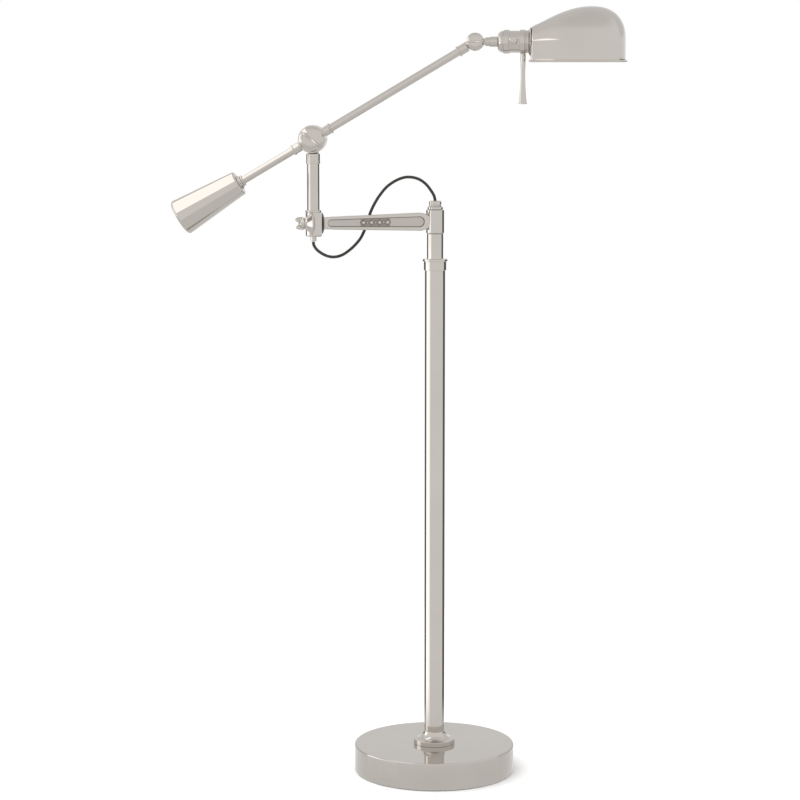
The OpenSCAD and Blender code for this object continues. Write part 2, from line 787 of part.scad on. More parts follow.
module weight_lock_ring() {
    r = lock_ring_d / 2;
    x0 = weight_x + neck_len + 0.6;
    color(nickel) boom_frame() difference() {
        turned_x([[0, x0], [r - 0.6, x0], [r, x0 + 0.6], [r, x0 + lock_ring_t - 0.6],
                  [r - 0.6, x0 + lock_ring_t], [0, x0 + lock_ring_t]]);
        tube_x(boom_d, 0, x0 - 1, lock_ring_t + 2);
    }
}

module knuckle_bolt() {
    color("silver") boom_frame() translate([boom_front_len, 0, 0])
        hole_y(knuckle_bolt_d, -knuckle_half - 4.5, knuckle_half);
}

module knuckle_washer() {
    color([0.1, 0.09, 0.09]) boom_frame() translate([boom_front_len, 0, 0]) difference() {
        hole_y(knuckle_d - 4, face_gap, face_gap + knuckle_washer_t);
        hole_y(knuckle_bolt_d, -1, 3);
    }
}

module knuckle_wing_nut() {
    color(nickel) head_frame() translate([0, -knuckle_half - face_gap, 0]) rotate([90, 0, 0])
        rotate([0, 0, 4]) wing_nut(knuckle_d - 1, 6, knuckle_blade, 10.5, 3, knuckle_bolt_d);
}

// ---- head ----

module head_lug() {
    r = head_neck_d / 2;
    color(nickel) head_frame() difference() {
        union() {
            hole_y(knuckle_d, -knuckle_half, 0);
            turned_x([[0, 0], [r, 0], [r, neck_ring_x], [0, neck_ring_x]]);
        }
        hole_y(knuckle_bolt_d + 2 * run_gap, -knuckle_half - 1, 1);
        hole_y(knuckle_d + 2 * face_gap, 0, r + 1);
        translate([-1, -knuckle_half - 2 * r, -r - 1]) cube([knuckle_blade / 2 + 1.7, 2 * r, 2 * r + 2]);
        rotate([0, 90, 0]) translate([0, 0, knuckle_d / 2]) cylinder(d = 7, h = neck_ring_x);
    }
}

module neck_ring() {
    r = neck_ring_d / 2;
    color(nickel) head_frame() difference() {
        turned_x([[0, neck_ring_x], [r - 0.5, neck_ring_x], [r, neck_ring_x + 0.5], [r, cap_x - 0.5],
                  [r - 0.5, cap_x], [0, cap_x]]);
        tube_x(7, 0, neck_ring_x - 1, 14);
    }
}

// Domed cap that closes the back of the socket.
module socket_cap() {
    r0 = neck_ring_d / 2;
    r1 = shell_d / 2;
    run = first_ring_x - cap_x;
    color(nickel) head_frame() turned_x(concat(
        [[3.5, cap_x]],
        [for (i = [0:8]) [r0 + (r1 - r0) * sin(i * 90 / 8), cap_x + run * (1 - cos(i * 90 / 8))]],
        [for (i = [8:-1:0]) [3.5 + (r1 - 4.5) * sin(i * 90 / 8),
                             cap_x + 1 + (run - 1) * (1 - cos(i * 90 / 8))]]));
}

module socket_ring() {
    r = socket_ring_d / 2;
    x1 = first_ring_x + first_ring_len;
    color(nickel) head_frame() difference() {
        turned_x([[0, first_ring_x], [r - 0.8, first_ring_x], [r, first_ring_x + 0.8], [r, x1 - 0.8],
                  [r - 0.8, x1], [0, x1]]);
        tube_x(shell_d, 0, first_ring_x - 1, first_ring_len + 2);
    }
}

module socket_shell() {
    color(nickel) head_frame() difference() {
        tube_x(shell_d, shell_d - 2 * shell_wall, first_ring_x, flange_x - first_ring_x - face_gap);
        translate([switch_x, 0, switch_up]) hole_y(4 + 2 * run_gap, -shell_d, 0);
    }
}

// Insulating body that holds the lamp's screw shell.
module lampholder() {
    r = shell_d / 2 - shell_wall;
    x0 = holder_x - holder_floor;
    step = flange_x - 4;
    color([0.9, 0.88, 0.82]) head_frame() difference() {
        turned_x([[0, x0], [r, x0], [r, step], [holder_d / 2, step], [holder_d / 2, holder_end],
                  [0, holder_end]]);
        tube_x(liner_d, 0, holder_x, bulb_x);
    }
}

module screw_shell() {
    color("goldenrod") head_frame()
        tube_x(liner_d, liner_d - 2 * liner_wall, holder_x, holder_end - holder_x);
}

module centre_contact() {
    color("goldenrod") head_frame() tube_x(7, 0, holder_x, contact_t);
}

module bulb_cap() {
    x0 = holder_x + contact_t;
    r = liner_d / 2 - liner_wall;
    color("silver") head_frame() turned_x([[0, x0], [4, x0], [r, x0 + 4], [r, bulb_x], [0, bulb_x]]);
}

// Clear-fronted lamp: a neck that swells into a round bulb.
module bulb_glass() {
    neck = 12;
    r = bulb_d / 2;
    color([1, 1, 0.95, 0.5]) head_frame() turned_x(concat(
        [[0, bulb_x], [neck, bulb_x]],
        [for (i = [0:8]) [neck + (r - neck) * (1 - cos(i * 180 / 8)) / 2, bulb_x + (bulb_len - r) * i / 8]],
        arc(0, bulb_x + bulb_len - r, r, 5, 90, 14)));
}

// Rotary switch on the front of the socket.
module switch_knob() {
    r = switch_d / 2;
    h = switch_h - 0.4;
    stem = shell_d / 2 + 1;
    color(nickel) head_frame() translate([switch_x, 0, switch_up]) {
        translate([0, -shell_d / 2 - 0.4, 0]) rotate([90, 0, 0])
            turned([[0, 0], [r, 0], [r, h - 2.1], [r - 1.5, h - 0.6], [r - 4, h], [0, h]]);
        hole_y(4, -stem, -shell_d / 2 + 4);
    }
}

// ---- shade ----

// Ring that turns on the socket's shell and carries the shade.
module shade_ring() {
    r = socket_ring_d / 2 + 0.2;
    x1 = shade_ring_x + shade_ring_len;
    color(nickel) head_frame() difference() {
        turned_x([[0, shade_ring_x], [r - 0.8, shade_ring_x], [r, shade_ring_x + 0.8], [r, x1 - 0.5],
                  [r - 0.5, x1], [0, x1]]);
        tube_x(shell_d + 2 * run_gap, 0, shade_ring_x - 1, shade_ring_len + 2);
    }
}

// Grooved sleeve and dished flange between the ring and the shade.
module shade_gallery() {
    x0 = shade_ring_x + shade_ring_len;
    r = shell_d / 2 + 1;
    f = flange_d / 2;
    color(nickel) head_frame() difference() {
        turned_x([[0, x0], [r - 0.6, x0], [r - 0.6, x0 + 1.2], [r, x0 + 1.2], [r, x0 + 2.6],
                  [r - 0.6, x0 + 2.6], [r - 0.6, x0 + 4], [r, x0 + 4], [r, flange_x],
                  [f - 0.5, flange_x + 3], [f, flange_x + 3.6], [f - 0.5, shade_x], [0, shade_x]]);
        tube_x(shell_d + 2 * run_gap, 0, x0 - 1, flange_x - x0 + 1);
        tube_x(2 * gallery_r + 2, 0, x0, 2 * flange_t + 8);
    }
}

// Three small screws that hold the shade to the gallery, from inside.
module gallery_screws() {
    ring = (gallery_r + shade_neck) / 2;
    color("silver") head_frame() for (i = [0:2]) rotate([90 + i * 120, 0, 0])
        translate([shade_x + shade_wall, ring, 0]) rotate([0, 90, 0]) cylinder(d = 2.4, h = 1.4);
}

// Outline of the shade on one side: [along the axis, radius], from the back wall to the nose.
shade_neck = 19;
corner_r = 5.5;
crown_at = 90;
nose_power = 2.4;
nose_flat = 6;
function bezier(a, b, c, d, t) =
    pow(1 - t, 3) * a + 3 * pow(1 - t, 2) * t * b + 3 * (1 - t) * t * t * c + pow(t, 3) * d;
function shade_outline(inset) =
    let (r = corner_r - inset,
         corner = [for (a = [166:-14:112]) [corner_r + r * cos(a), shade_neck + r * sin(a)]],
         p0 = [3.4, shade_neck + 5.1 - inset],
         p1 = [25, shade_neck + 14 - inset],
         p2 = [crown_at - 38, shade_r - inset],
         p3 = [crown_at, shade_r - inset],
         back = [for (i = [1:13]) bezier(p0, p1, p2, p3, i / 14)],
         n = shade_len - crown_at - inset,
         nose = [for (i = [0:13]) [crown_at + n * pow(sin(90 * i / 14), 2 / nose_power),
                                   (shade_r - inset) * pow(cos(90 * i / 14), 2 / nose_power)]],
         round_nose = [for (p = nose) if (p[1] > nose_flat) p],
         tip = round_nose[len(round_nose) - 1])
    concat([[inset, 0], [inset, shade_neck]], corner, back, round_nose, [[tip[0], 0]]);

// The shade's plan: the outline on both sides.
module shade_plan(inset) {
    side = shade_outline(inset);
    polygon(concat(side, [for (i = [len(side) - 2:-1:1]) [side[i][0], -side[i][1]]]));
}

// The upper half of the outline's solid of revolution.
module shade_dome(inset) {
    rotate([90, 0, 90]) rotate_extrude(angle = 180) polygon([for (p = shade_outline(inset)) [p[1], p[0]]]);
}

// Half-dome over a straight skirt, open below, with a rolled rim.
module shade() {
    hole_r = gallery_r + 0.4;
    color(nickel) head_frame() translate([shade_x, 0, 0]) difference() {
        union() {
            shade_dome(0);
            translate([0, 0, -shade_drop]) linear_extrude(shade_drop) shade_plan(0);
            translate([0, 0, -shade_drop]) linear_extrude(rim_h) shade_plan(-rim_out);
        }
        shade_dome(shade_wall);
        translate([0, 0, -shade_drop - 1]) linear_extrude(shade_drop + 1) shade_plan(shade_wall);
        rotate([0, 90, 0]) translate([0, 0, -small]) cylinder(r = hole_r, h = shade_wall + 3);
    }
}

// Slender handle that hangs from the shade's ring.
module handle() {
    top = -(socket_ring_d / 2 + 0.2);
    a = handle_top_d / 2;
    b = handle_end_d / 2;
    color(nickel) head_frame() difference() {
        translate([handle_x, 0, top - handle_len]) turned(concat(
            [[0, 0], [b - 0.5, 0], [b, 0.5]],
            [for (t = [0:0.1:1]) [a + (b - a) * pow(1 - t, 2) - 0.9 * sin(180 * t),
                                  3 + (handle_len - 6) * t]],
            [[a, handle_len - 2], [a, handle_len + 1], [0, handle_len + 1]]));
        rotate([0, 90, 0]) cylinder(r = -top, h = 2 * handle_x);
    }
}

// ---- link cord ----

function cord_at(i) = CORD_ROUTE[max(0, min(len(CORD_ROUTE) - 1, i))];
function smooth(i, t) =
    let (a = cord_at(i - 1), b = cord_at(i), c = cord_at(i + 1), d = cord_at(i + 2))
    0.5 * ((2 * b) + (c - a) * t + (2 * a - 5 * b + 4 * c - d) * t * t + (3 * b - a - 3 * c + d) * t * t * t);
CORD_STEPS = 2;
CORD_LINE = concat([for (i = [0:len(CORD_ROUTE) - 2], k = [0:CORD_STEPS - 1]) smooth(i, k / CORD_STEPS)],
                   [CORD_ROUTE[len(CORD_ROUTE) - 1]]);
function unit(v) = v / norm(v);

// A tube swept along the route, eight-sided, in one piece.
module link_cord() {
    sides = 8;
    last = len(CORD_LINE) - 1;
    aside = [0, 1, 0];
    rings = [for (i = [0:last])
        let (along = i == 0 || i == last ? [0, 0, 1] * (i == 0 ? -1 : -1)
                                         : unit(CORD_LINE[i + 1] - CORD_LINE[i - 1]),
             u = unit(cross(aside, along)), v = cross(along, u))
        [for (a = [0:360 / sides:359]) CORD_LINE[i] + cord_d / 2 * (u * cos(a) + v * sin(a))]];
    points = [for (ring = rings) each ring];
    color([0.05, 0.04, 0.04]) arm_frame() polyhedron(points, concat(
        [[for (k = [sides - 1:-1:0]) k]],
        [for (i = [0:last - 1], k = [0:sides - 1])
            let (next = (k + 1) % sides)
            [i * sides + k, i * sides + next, (i + 1) * sides + next, (i + 1) * sides + k]],
        [[for (k = [0:sides - 1]) last * sides + k]]));
}

base_cover();
base_weight();
base_pad();
base_washer();
base_nut();
cord_gland();
foot_fitting();
tie_nipple();
column_plug();
column_tube();
column_collar();
spindle();
thrust_washer();
spindle_ring();
spindle_cap();
arm_frame() arm_casting();
arm_bushes();
elbow_stud();
elbow_washer();
link_cord();
elbow_casting();
cord_ferrule();
post_set_screw();
elbow_wing_nut();
post_tube();
post_head();
pivot_bolt();
pivot_washer();
pivot_rear_nut();
pivot_wing_nut();
boom_hub();
boom_front_tube();
boom_back_tube();
boom_end_lug();
counterweight();
weight_neck();
weight_lock_ring();
knuckle_bolt();
knuckle_washer();
knuckle_wing_nut();
head_lug();
neck_ring();
socket_cap();
socket_ring();
socket_shell();
lampholder();
screw_shell();
centre_contact();
bulb_cap();
bulb_glass();
switch_knob();
shade_ring();
shade_gallery();
gallery_screws();
shade();
handle();
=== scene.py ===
"""A boom-arm floor lamp in polished nickel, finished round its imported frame.

Every length below is in millimetres until build() writes it into a mesh in metres.
A turned piece is an outline of (radius, height) corners carried round an axis.
"""

import json
import math

import bpy
import numpy as np
from mathutils import Matrix, Vector


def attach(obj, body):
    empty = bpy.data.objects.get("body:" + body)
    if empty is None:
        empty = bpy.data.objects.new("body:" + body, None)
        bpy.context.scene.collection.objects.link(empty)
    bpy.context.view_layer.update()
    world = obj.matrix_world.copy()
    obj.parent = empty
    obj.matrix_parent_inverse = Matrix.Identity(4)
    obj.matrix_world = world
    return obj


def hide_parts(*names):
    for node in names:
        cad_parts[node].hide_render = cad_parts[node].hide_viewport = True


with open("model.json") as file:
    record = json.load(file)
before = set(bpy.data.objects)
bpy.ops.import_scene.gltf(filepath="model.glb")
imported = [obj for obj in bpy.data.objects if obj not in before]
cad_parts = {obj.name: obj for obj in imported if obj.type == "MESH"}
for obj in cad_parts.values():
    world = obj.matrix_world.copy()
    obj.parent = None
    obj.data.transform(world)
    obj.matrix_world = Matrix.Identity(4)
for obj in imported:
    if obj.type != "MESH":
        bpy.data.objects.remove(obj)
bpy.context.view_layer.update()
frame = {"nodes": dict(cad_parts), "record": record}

MM = 0.001
X, Y, Z = np.eye(3)
SCENE = bpy.context.scene

# ---- sizes, in millimetres ----

BASE_R, BASE_TOP, COVER_WALL = 127.0, 44.5, 1.6
PAD_R, PAD_H = 119.0, 2.2
FOOT_R, FOOT_TOP = 32.85, 64.6
COLUMN_R, COLUMN_WALL, COLUMN_FOOT, COLUMN_END = 15.875, 1.5, 49.5, 811.8
COLLAR_Z, COLLAR_TOP = 803.8, 821.8
SPINDLE_R, JOURNAL_R, SPINDLE_TOP = 12.7, 8.0, 861.0
ARM_Z, ARM_LEN, ARM_TURN = 880.35, 194.6, 20.0
HUB_R, HUB_HALF = 14.0, 18.2
RING_Z, CAP_Z, CAP_TOP = 898.7, 903.5, 912.6
WEB_HALF_HUB, WEB_HALF_ELBOW, WEB_HALF_T, ARM_END = 14.4, 9.4, 7.5, 180.7
RECESS_START, RECESS_END, RECESS_RIM, RECESS_DEPTH = 18.9, 173.3, 6.15, 2.4
SLEEVE_R, SLEEVE_HALF, ELBOW_FLAT = 11.75, 20.2, -11.2
POST_R, PIVOT_RISE = 9.5, 129.4
BOOM_Y, BOOM_REST, BOOM_LEN, BOOM_R = -10.0, 30.6, 290.0, 6.0
PIVOT_R, HUB_T = 21.3, 13.0
WEIGHT_X, WEIGHT_LEN, WEIGHT_SMALL, WEIGHT_BIG = -131.5, 108.0, 19.25, 28.8
KNUCKLE_R, KNUCKLE_HALF = 13.65, 5.6
SHELL_R, SOCKET_RING_R, SHADE_RING_R = 16.5, 18.0, 18.2
SHADE_X, SHADE_R, SHADE_DROP = 85.0, 53.0, 30.6
CORD_D = 4.6

# ---- frames of the moving pieces ----


def spot(x, y, z, axis=Z, degrees=0.0):
    """A 4 by 4 matrix that turns about an axis through the origin and then moves."""
    matrix = np.eye(4)
    matrix[:3, :3] = np.array(Matrix.Rotation(math.radians(degrees), 3, Vector(axis)))
    matrix[:3, 3] = x, y, z
    return matrix


LAMP = np.eye(4)
ARM = spot(0, 0, ARM_Z, Z, 180 + ARM_TURN)
ELBOW = ARM @ spot(ARM_LEN, 0, 0)
POST = spot(*(ELBOW[:3, 3]))
PIVOT = POST @ spot(0, 0, PIVOT_RISE)
BOOM = PIVOT @ spot(0, BOOM_Y, 0, Y, -BOOM_REST)
HEAD = BOOM @ spot(BOOM_LEN, 0, 0, Y, BOOM_REST)
TO_X = spot(0, 0, 0, Y, 90)
TO_FRONT = spot(0, 0, 0, X, 90)
TO_BACK = spot(0, 0, 0, X, -90)

# ---- camera ----

CAMERA_AT = np.array([325.2, -3950.0, 1136.0])
YAW, PITCH = math.radians(5.5), math.radians(7.72)


def add_camera():
    """The camera looks along +Y, turned a little to the left and tipped down."""
    data = bpy.data.cameras.new("camera")
    data.lens = 114.2
    data.sensor_width = 36.0
    data.clip_end = 100.0
    camera = bpy.data.objects.new("camera", data)
    camera.location = CAMERA_AT * MM
    camera.rotation_euler = (math.pi / 2 - PITCH, 0.0, YAW)
    SCENE.collection.objects.link(camera)
    SCENE.camera = camera


add_camera()

# ---- finishes ----


def finish(slot, tint, shade, metallic, roughness, grain, bump, depth, coat=0.0):
    """A procedural finish: tint fades to shade in soft clouds, roughness runs between its two
    values in patches, and a fine grain (per metre) lifts the surface by depth metres. Where the
    mesh holds painted shade of 1, darkness painted in where shade falls, the tint is down to about a quarter."""
    material = bpy.data.materials.new(slot)
    material.use_nodes = True
    nodes, links = material.node_tree.nodes, material.node_tree.links
    surface = nodes["Principled BSDF"]
    surface.inputs["Metallic"].default_value = metallic
    surface.inputs["Coat Weight"].default_value = coat
    place = nodes.new("ShaderNodeTexCoord").outputs["Object"]

    def noise(scale, detail):
        """Noise over the piece's own coordinates."""
        node = nodes.new("ShaderNodeTexNoise")
        node.inputs["Scale"].default_value = scale
        node.inputs["Detail"].default_value = detail
        links.new(place, node.inputs["Vector"])
        return node.outputs["Fac"]

    clouds = nodes.new("ShaderNodeValToRGB")
    clouds.color_ramp.elements[0].position, clouds.color_ramp.elements[1].position = 0.35, 0.65
    clouds.color_ramp.elements[0].color = (*tint, 1.0)
    clouds.color_ramp.elements[1].color = (*shade, 1.0)
    links.new(noise(14.0, 3.0), clouds.inputs["Fac"])
    # painted shade: a point attribute on the mesh darkens the tint to about a quarter where it is 1, standing
    # in for shade in hollows
    painted_shade = nodes.new("ShaderNodeAttribute")
    painted_shade.attribute_name = "painted_shade"
    shaded = nodes.new("ShaderNodeMix")
    shaded.data_type = "RGBA"
    links.new(painted_shade.outputs["Fac"], shaded.inputs["Factor"])
    links.new(clouds.outputs["Color"], shaded.inputs["A"])
    shaded.inputs["B"].default_value = (0.3 * tint[0], 0.27 * tint[1], 0.25 * tint[2], 1.0)
    links.new(shaded.outputs["Result"], surface.inputs["Base Color"])
    patches = nodes.new("ShaderNodeMapRange")
    patches.inputs["From Min"].default_value, patches.inputs["From Max"].default_value = 0.3, 0.7
    patches.inputs["To Min"].default_value, patches.inputs["To Max"].default_value = roughness
    links.new(noise(60.0, 5.0), patches.inputs["Value"])
    links.new(patches.outputs["Result"], surface.inputs["Roughness"])
    relief = nodes.new("ShaderNodeBump")
    relief.inputs["Strength"].default_value = bump
    relief.inputs["Distance"].default_value = depth
    links.new(noise(grain, 4.0), relief.inputs["Height"])
    links.new(relief.outputs["Normal"], surface.inputs["Normal"])
    return material


FINISHES = {
    "nickel": finish("nickel", (0.56, 0.525, 0.487), (0.54, 0.506, 0.468), 1.0, (0.05, 0.09), 300, 0.02,
        0.0004),
    "steel": finish("steel", (0.50, 0.49, 0.47), (0.42, 0.41, 0.40), 1.0, (0.22, 0.36), 900, 0.2, 0.0003),
    "brass": finish("brass", (0.62, 0.47, 0.22), (0.52, 0.38, 0.17), 1.0, (0.2, 0.34), 700, 0.15, 0.0003),
    "iron": finish("iron", (0.05, 0.05, 0.052), (0.03, 0.03, 0.032), 0.4, (0.55, 0.8), 500, 0.6, 0.0008),
    "felt": finish("felt", (0.022, 0.022, 0.022), (0.012, 0.012, 0.012), 0.0, (0.9, 1.0), 2500, 0.8, 0.0004),
    "gland": finish("gland", (0.018, 0.018, 0.018), (0.012, 0.012, 0.012), 0.0, (0.45, 0.6), 900, 0.2,
        0.0003),
    "fibre": finish("fibre", (0.06, 0.05, 0.044), (0.04, 0.034, 0.03), 0.0, (0.35, 0.5), 900, 0.3, 0.0003),
    "insulator": finish("insulator", (0.72, 0.69, 0.62), (0.66, 0.62, 0.55), 0.0, (0.25, 0.35), 300, 0.05,
        0.0003),
    "lamp_cap": finish("lamp_cap", (0.60, 0.60, 0.59), (0.52, 0.52, 0.51), 1.0, (0.25, 0.4), 900, 0.1,
        0.0003),
    "lamp_glass": finish("lamp_glass", (0.86, 0.86, 0.84), (0.82, 0.82, 0.80), 0.0, (0.3, 0.38), 1200, 0.05,
        0.0002, 0.4),
}


def braid(slot, thread, gap):
    """Woven cotton over a round cord: two sets of threads wind opposite ways along the UV map,
    and each crossing is the higher of the two waves."""
    material = bpy.data.materials.new(slot)
    material.use_nodes = True
    nodes, links = material.node_tree.nodes, material.node_tree.links
    surface = nodes["Principled BSDF"]
    surface.inputs["Roughness"].default_value = 0.8
    surface.inputs["Sheen Weight"].default_value = 0.25
    place = nodes.new("ShaderNodeTexCoord").outputs["UV"]
    waves = []
    for lean in (1.0, -1.0):
        turn = nodes.new("ShaderNodeMapping")
        turn.inputs["Rotation"].default_value = (0.0, 0.0, lean * math.radians(45))
        wave = nodes.new("ShaderNodeTexWave")
        wave.inputs["Scale"].default_value = 2.2
        links.new(place, turn.inputs["Vector"])
        links.new(turn.outputs["Vector"], wave.inputs["Vector"])
        waves.append(wave.outputs["Fac"])
    crossing = nodes.new("ShaderNodeMath")
    crossing.operation = "MAXIMUM"
    links.new(waves[0], crossing.inputs[0])
    links.new(waves[1], crossing.inputs[1])
    tone = nodes.new("ShaderNodeValToRGB")
    tone.color_ramp.elements[0].color = (*gap, 1.0)
    tone.color_ramp.elements[1].color = (*thread, 1.0)
    links.new(crossing.outputs["Value"], tone.inputs["Fac"])
    links.new(tone.outputs["Color"], surface.inputs["Base Color"])
    relief = nodes.new("ShaderNodeBump")
    relief.inputs["Strength"].default_value = 0.7
    relief.inputs["Distance"].default_value = 0.0004
    links.new(crossing.outputs["Value"], relief.inputs["Height"])
    links.new(relief.outputs["Normal"], surface.inputs["Normal"])
    return material


FINISHES["cord"] = braid("cord", (0.035, 0.028, 0.024), (0.008, 0.007, 0.006))

# ---- surfaces ----


def unit(v):
    """v over its length, row by row."""
    return v / np.maximum(np.linalg.norm(v, axis=-1, keepdims=True), 1e-12)


def skin(rows, loop=False):
    """Closed surface through rows of points, each row a ring: point j of row i makes a
    four-sided face with its next neighbour and with both in row i + 1. loop joins the last row
    to the first. Points in one place are merged, so a row that shrinks to a point or a line
    closes the end. Returns the points, the four-sided and the three-sided faces, facing out."""
    count, width = rows.shape[:2]
    index = np.arange(count * width).reshape(count, width)
    index = np.vstack([index, index[:1]]) if loop else index
    a, d = index[:-1], index[1:]
    quads = np.stack([a, np.roll(a, -1, 1), np.roll(d, -1, 1), d], -1).reshape(-1, 4)
    points, place = np.unique(np.round(rows.reshape(-1, 3), 4), axis=0, return_inverse=True)
    quads = place.reshape(-1)[quads]
    kept = quads != np.roll(quads, 1, 1)
    four = quads[kept.sum(1) == 4]
    three = quads[kept.sum(1) == 3][kept[kept.sum(1) == 3]].reshape(-1, 3)
    corners = points[np.vstack([four[:, [0, 1, 2]], four[:, [0, 2, 3]], three])]
    volume = np.einsum("ij,ij->i", corners[:, 0], np.cross(corners[:, 1], corners[:, 2])).sum()
    if volume < 0:
        four, three = four[:, ::-1], three[:, ::-1]
    return points, four, three


def moved(surface, matrix):
    """The surface carried into a frame."""
    points, four, three = surface
    return points @ matrix[:3, :3].T + matrix[:3, 3], four, three


def build(node, body, surfaces, replaced=None, uv=None, painted_shade=None):
    """One piece from closed surfaces in the lamp's frame. Each corner's normal is the sum of
    its faces' normals times their areas, so that a narrow eased edge never bends a flat.
    The last argument, a function of the points, gives each one painted shade from 0 to 1."""
    offsets = np.cumsum([0] + [len(s[0]) for s in surfaces])
    points = np.vstack([s[0] for s in surfaces])
    four = np.vstack([s[1] + o for s, o in zip(surfaces, offsets)])
    three = np.vstack([s[2] + o for s, o in zip(surfaces, offsets)])
    normals = np.zeros_like(points)
    for faces, last in ((four, 3), (three, 2)):
        one, two, end = points[faces[:, 0]], points[faces[:, 1]], points[faces[:, last]]
        area = np.cross(points[faces[:, 2]] - one, end - two) if last == 3 else np.cross(two - one, end - one)
        for k in range(last + 1):
            np.add.at(normals, faces[:, k], area)
    mesh = bpy.data.meshes.new(node + "_surface")
    mesh.from_pydata((points * MM).tolist(), [], four.tolist() + three.tolist())
    mesh.polygons.foreach_set("use_smooth", np.ones(len(mesh.polygons), bool))
    if uv is not None:
        uv(mesh)
    if painted_shade is not None:
        # painted shade, stored on the points so that the finish darkens the tint there
        mesh.attributes.new("painted_shade", "FLOAT", "POINT").data.foreach_set("value", painted_shade(points))
    mesh.normals_split_custom_set_from_vertices(unit(normals).tolist())
    mesh.update()
    piece = bpy.data.objects.new(node + "_surface", mesh)
    SCENE.collection.objects.link(piece)
    slot = next(s["material_slot"] for s in frame["record"]["subparts"] if s["node"] == node)
    mesh.materials.append(FINISHES[slot])
    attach(piece, body)
    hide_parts(*(replaced or [node]))
    return piece


def eased(corners, steps=4):
    """An outline with each corner turned into an arc. A corner is (x, y) or (x, y, radius). The
    arc reaches radius times the tangent of half the turn along both sides, and no more than half
    of the shorter side, so a run of corners with a large radius becomes one smooth curve."""
    table = np.array([(*c, EDGE)[:3] for c in corners], float)
    p, radius = table[:, :2], table[:, 2]
    before, after = p - np.roll(p, 1, 0), np.roll(p, -1, 0) - p
    shorter = np.minimum(np.linalg.norm(before, axis=1), np.linalg.norm(after, axis=1))
    into, out = unit(before), unit(after)
    turn = np.arctan2(into[:, 0] * out[:, 1] - into[:, 1] * out[:, 0], (into * out).sum(1))
    half = np.tan(np.clip(np.abs(turn), 1e-6, 3.0) / 2)
    reach = np.minimum(radius * half, 0.499 * shorter)
    radius = reach / half * np.sign(turn)
    centre = p - into * reach[:, None] + radius[:, None] * np.stack([-into[:, 1], into[:, 0]], 1)
    heading = np.arctan2(into[:, 1], into[:, 0])[:, None] + turn[:, None] * np.linspace(0, 1, steps + 1)
    arcs = centre[:, None] + radius[:, None, None] * np.stack([np.sin(heading), -np.cos(heading)], -1)
    arcs = np.where(reach[:, None, None] > 1e-6, arcs, p[:, None]).reshape(-1, 2)
    fresh = np.linalg.norm(arcs - np.roll(arcs, 1, 0), axis=1) > 1e-3
    return arcs[fresh]


EDGE = 0.3
SMOOTH = 500.0


def curve(xs, ys):
    """Corners of one smooth curve through the given points."""
    return [(x, y, SMOOTH) for x, y in zip(xs, ys)]


def lathe(corners, matrix=LAMP, steps=96, loop=False):
    """Carries an outline round the matrix's own Z axis: (radius, height) goes to
    (radius cos t, radius sin t, height). An outline that isn't a loop starts and ends at radius 0."""
    if not loop:
        corners = [(*corners[0][:2], 0.0), *corners[1:-1], (*corners[-1][:2], 0.0)]
    outline = eased(corners)
    t = np.linspace(0, 2 * np.pi, steps, endpoint=False)
    ring = np.stack([np.cos(t), np.sin(t), np.zeros(steps)], -1)
    rows = outline[:, None, :1] * ring[None] + outline[:, None, 1:] * Z
    if not loop:
        rows = np.concatenate([rows[-1:] * Z, rows]) if abs(outline[0, 0]) > 1e-6 else rows
    return moved(skin(rows, loop), matrix)


def solid(r, z0, z1, edge=EDGE):
    """Outline of a plain round bar."""
    return [(0, z0), (r, z0, edge), (r, z1, edge), (0, z1)]


def hollow(r, bore, z0, z1, edge=EDGE):
    """Outline of a plain tube or ring."""
    return [(bore, z0, edge), (r, z0, edge), (r, z1, edge), (bore, z1, edge)]


# ---- the link cord, along the points of its route in the arm's frame ----

CORD_ROUTE = np.array([
    (194.6, 0, -28.6), (194.2, -0.5, -33), (190.5, -2.5, -39), (185, -5, -44), (177, -8, -49),
    (168, -10, -52.5), (158, -11.5, -53.5), (147, -12, -51), (136, -12.5, -44.5), (126, -12.5, -36),
    (117, -12.5, -25.5), (111, -12.5, -14), (106, -12.5, -1), (102, -12.5, 12), (95.5, -12.5, 26),
    (86.5, -12, 40.5), (75, -11, 54), (61, -10, 63.5), (47, -8.5, 68.5), (35, -6.5, 68.5),
    (24, -4.5, 65), (14.5, -2.5, 58), (7, -1, 48.5), (2, -0.2, 40), (0, 0, 32.4),
])
CORD_STEPS, CORD_SIDES = 8, 24


def through(points, steps):
    """Smooth path through points: between two of them, half of 2b + (c - a)t +
    (2a - 5b + 4c - d)t^2 + (3b - a - 3c + d)t^3, with a and d the points on either side."""
    p = np.vstack([points[:1], points, points[-1:]])
    a, b, c, d = (p[k:len(p) - 3 + k, None] for k in range(4))
    t = np.linspace(0, 1, steps, endpoint=False)[None, :, None]
    path = 0.5 * (2 * b + (c - a) * t + (2 * a - 5 * b + 4 * c - d) * t**2 + (3 * b - a - 3 * c + d) * t**3)
    return np.vstack([path.reshape(-1, 3), points[-1:]])


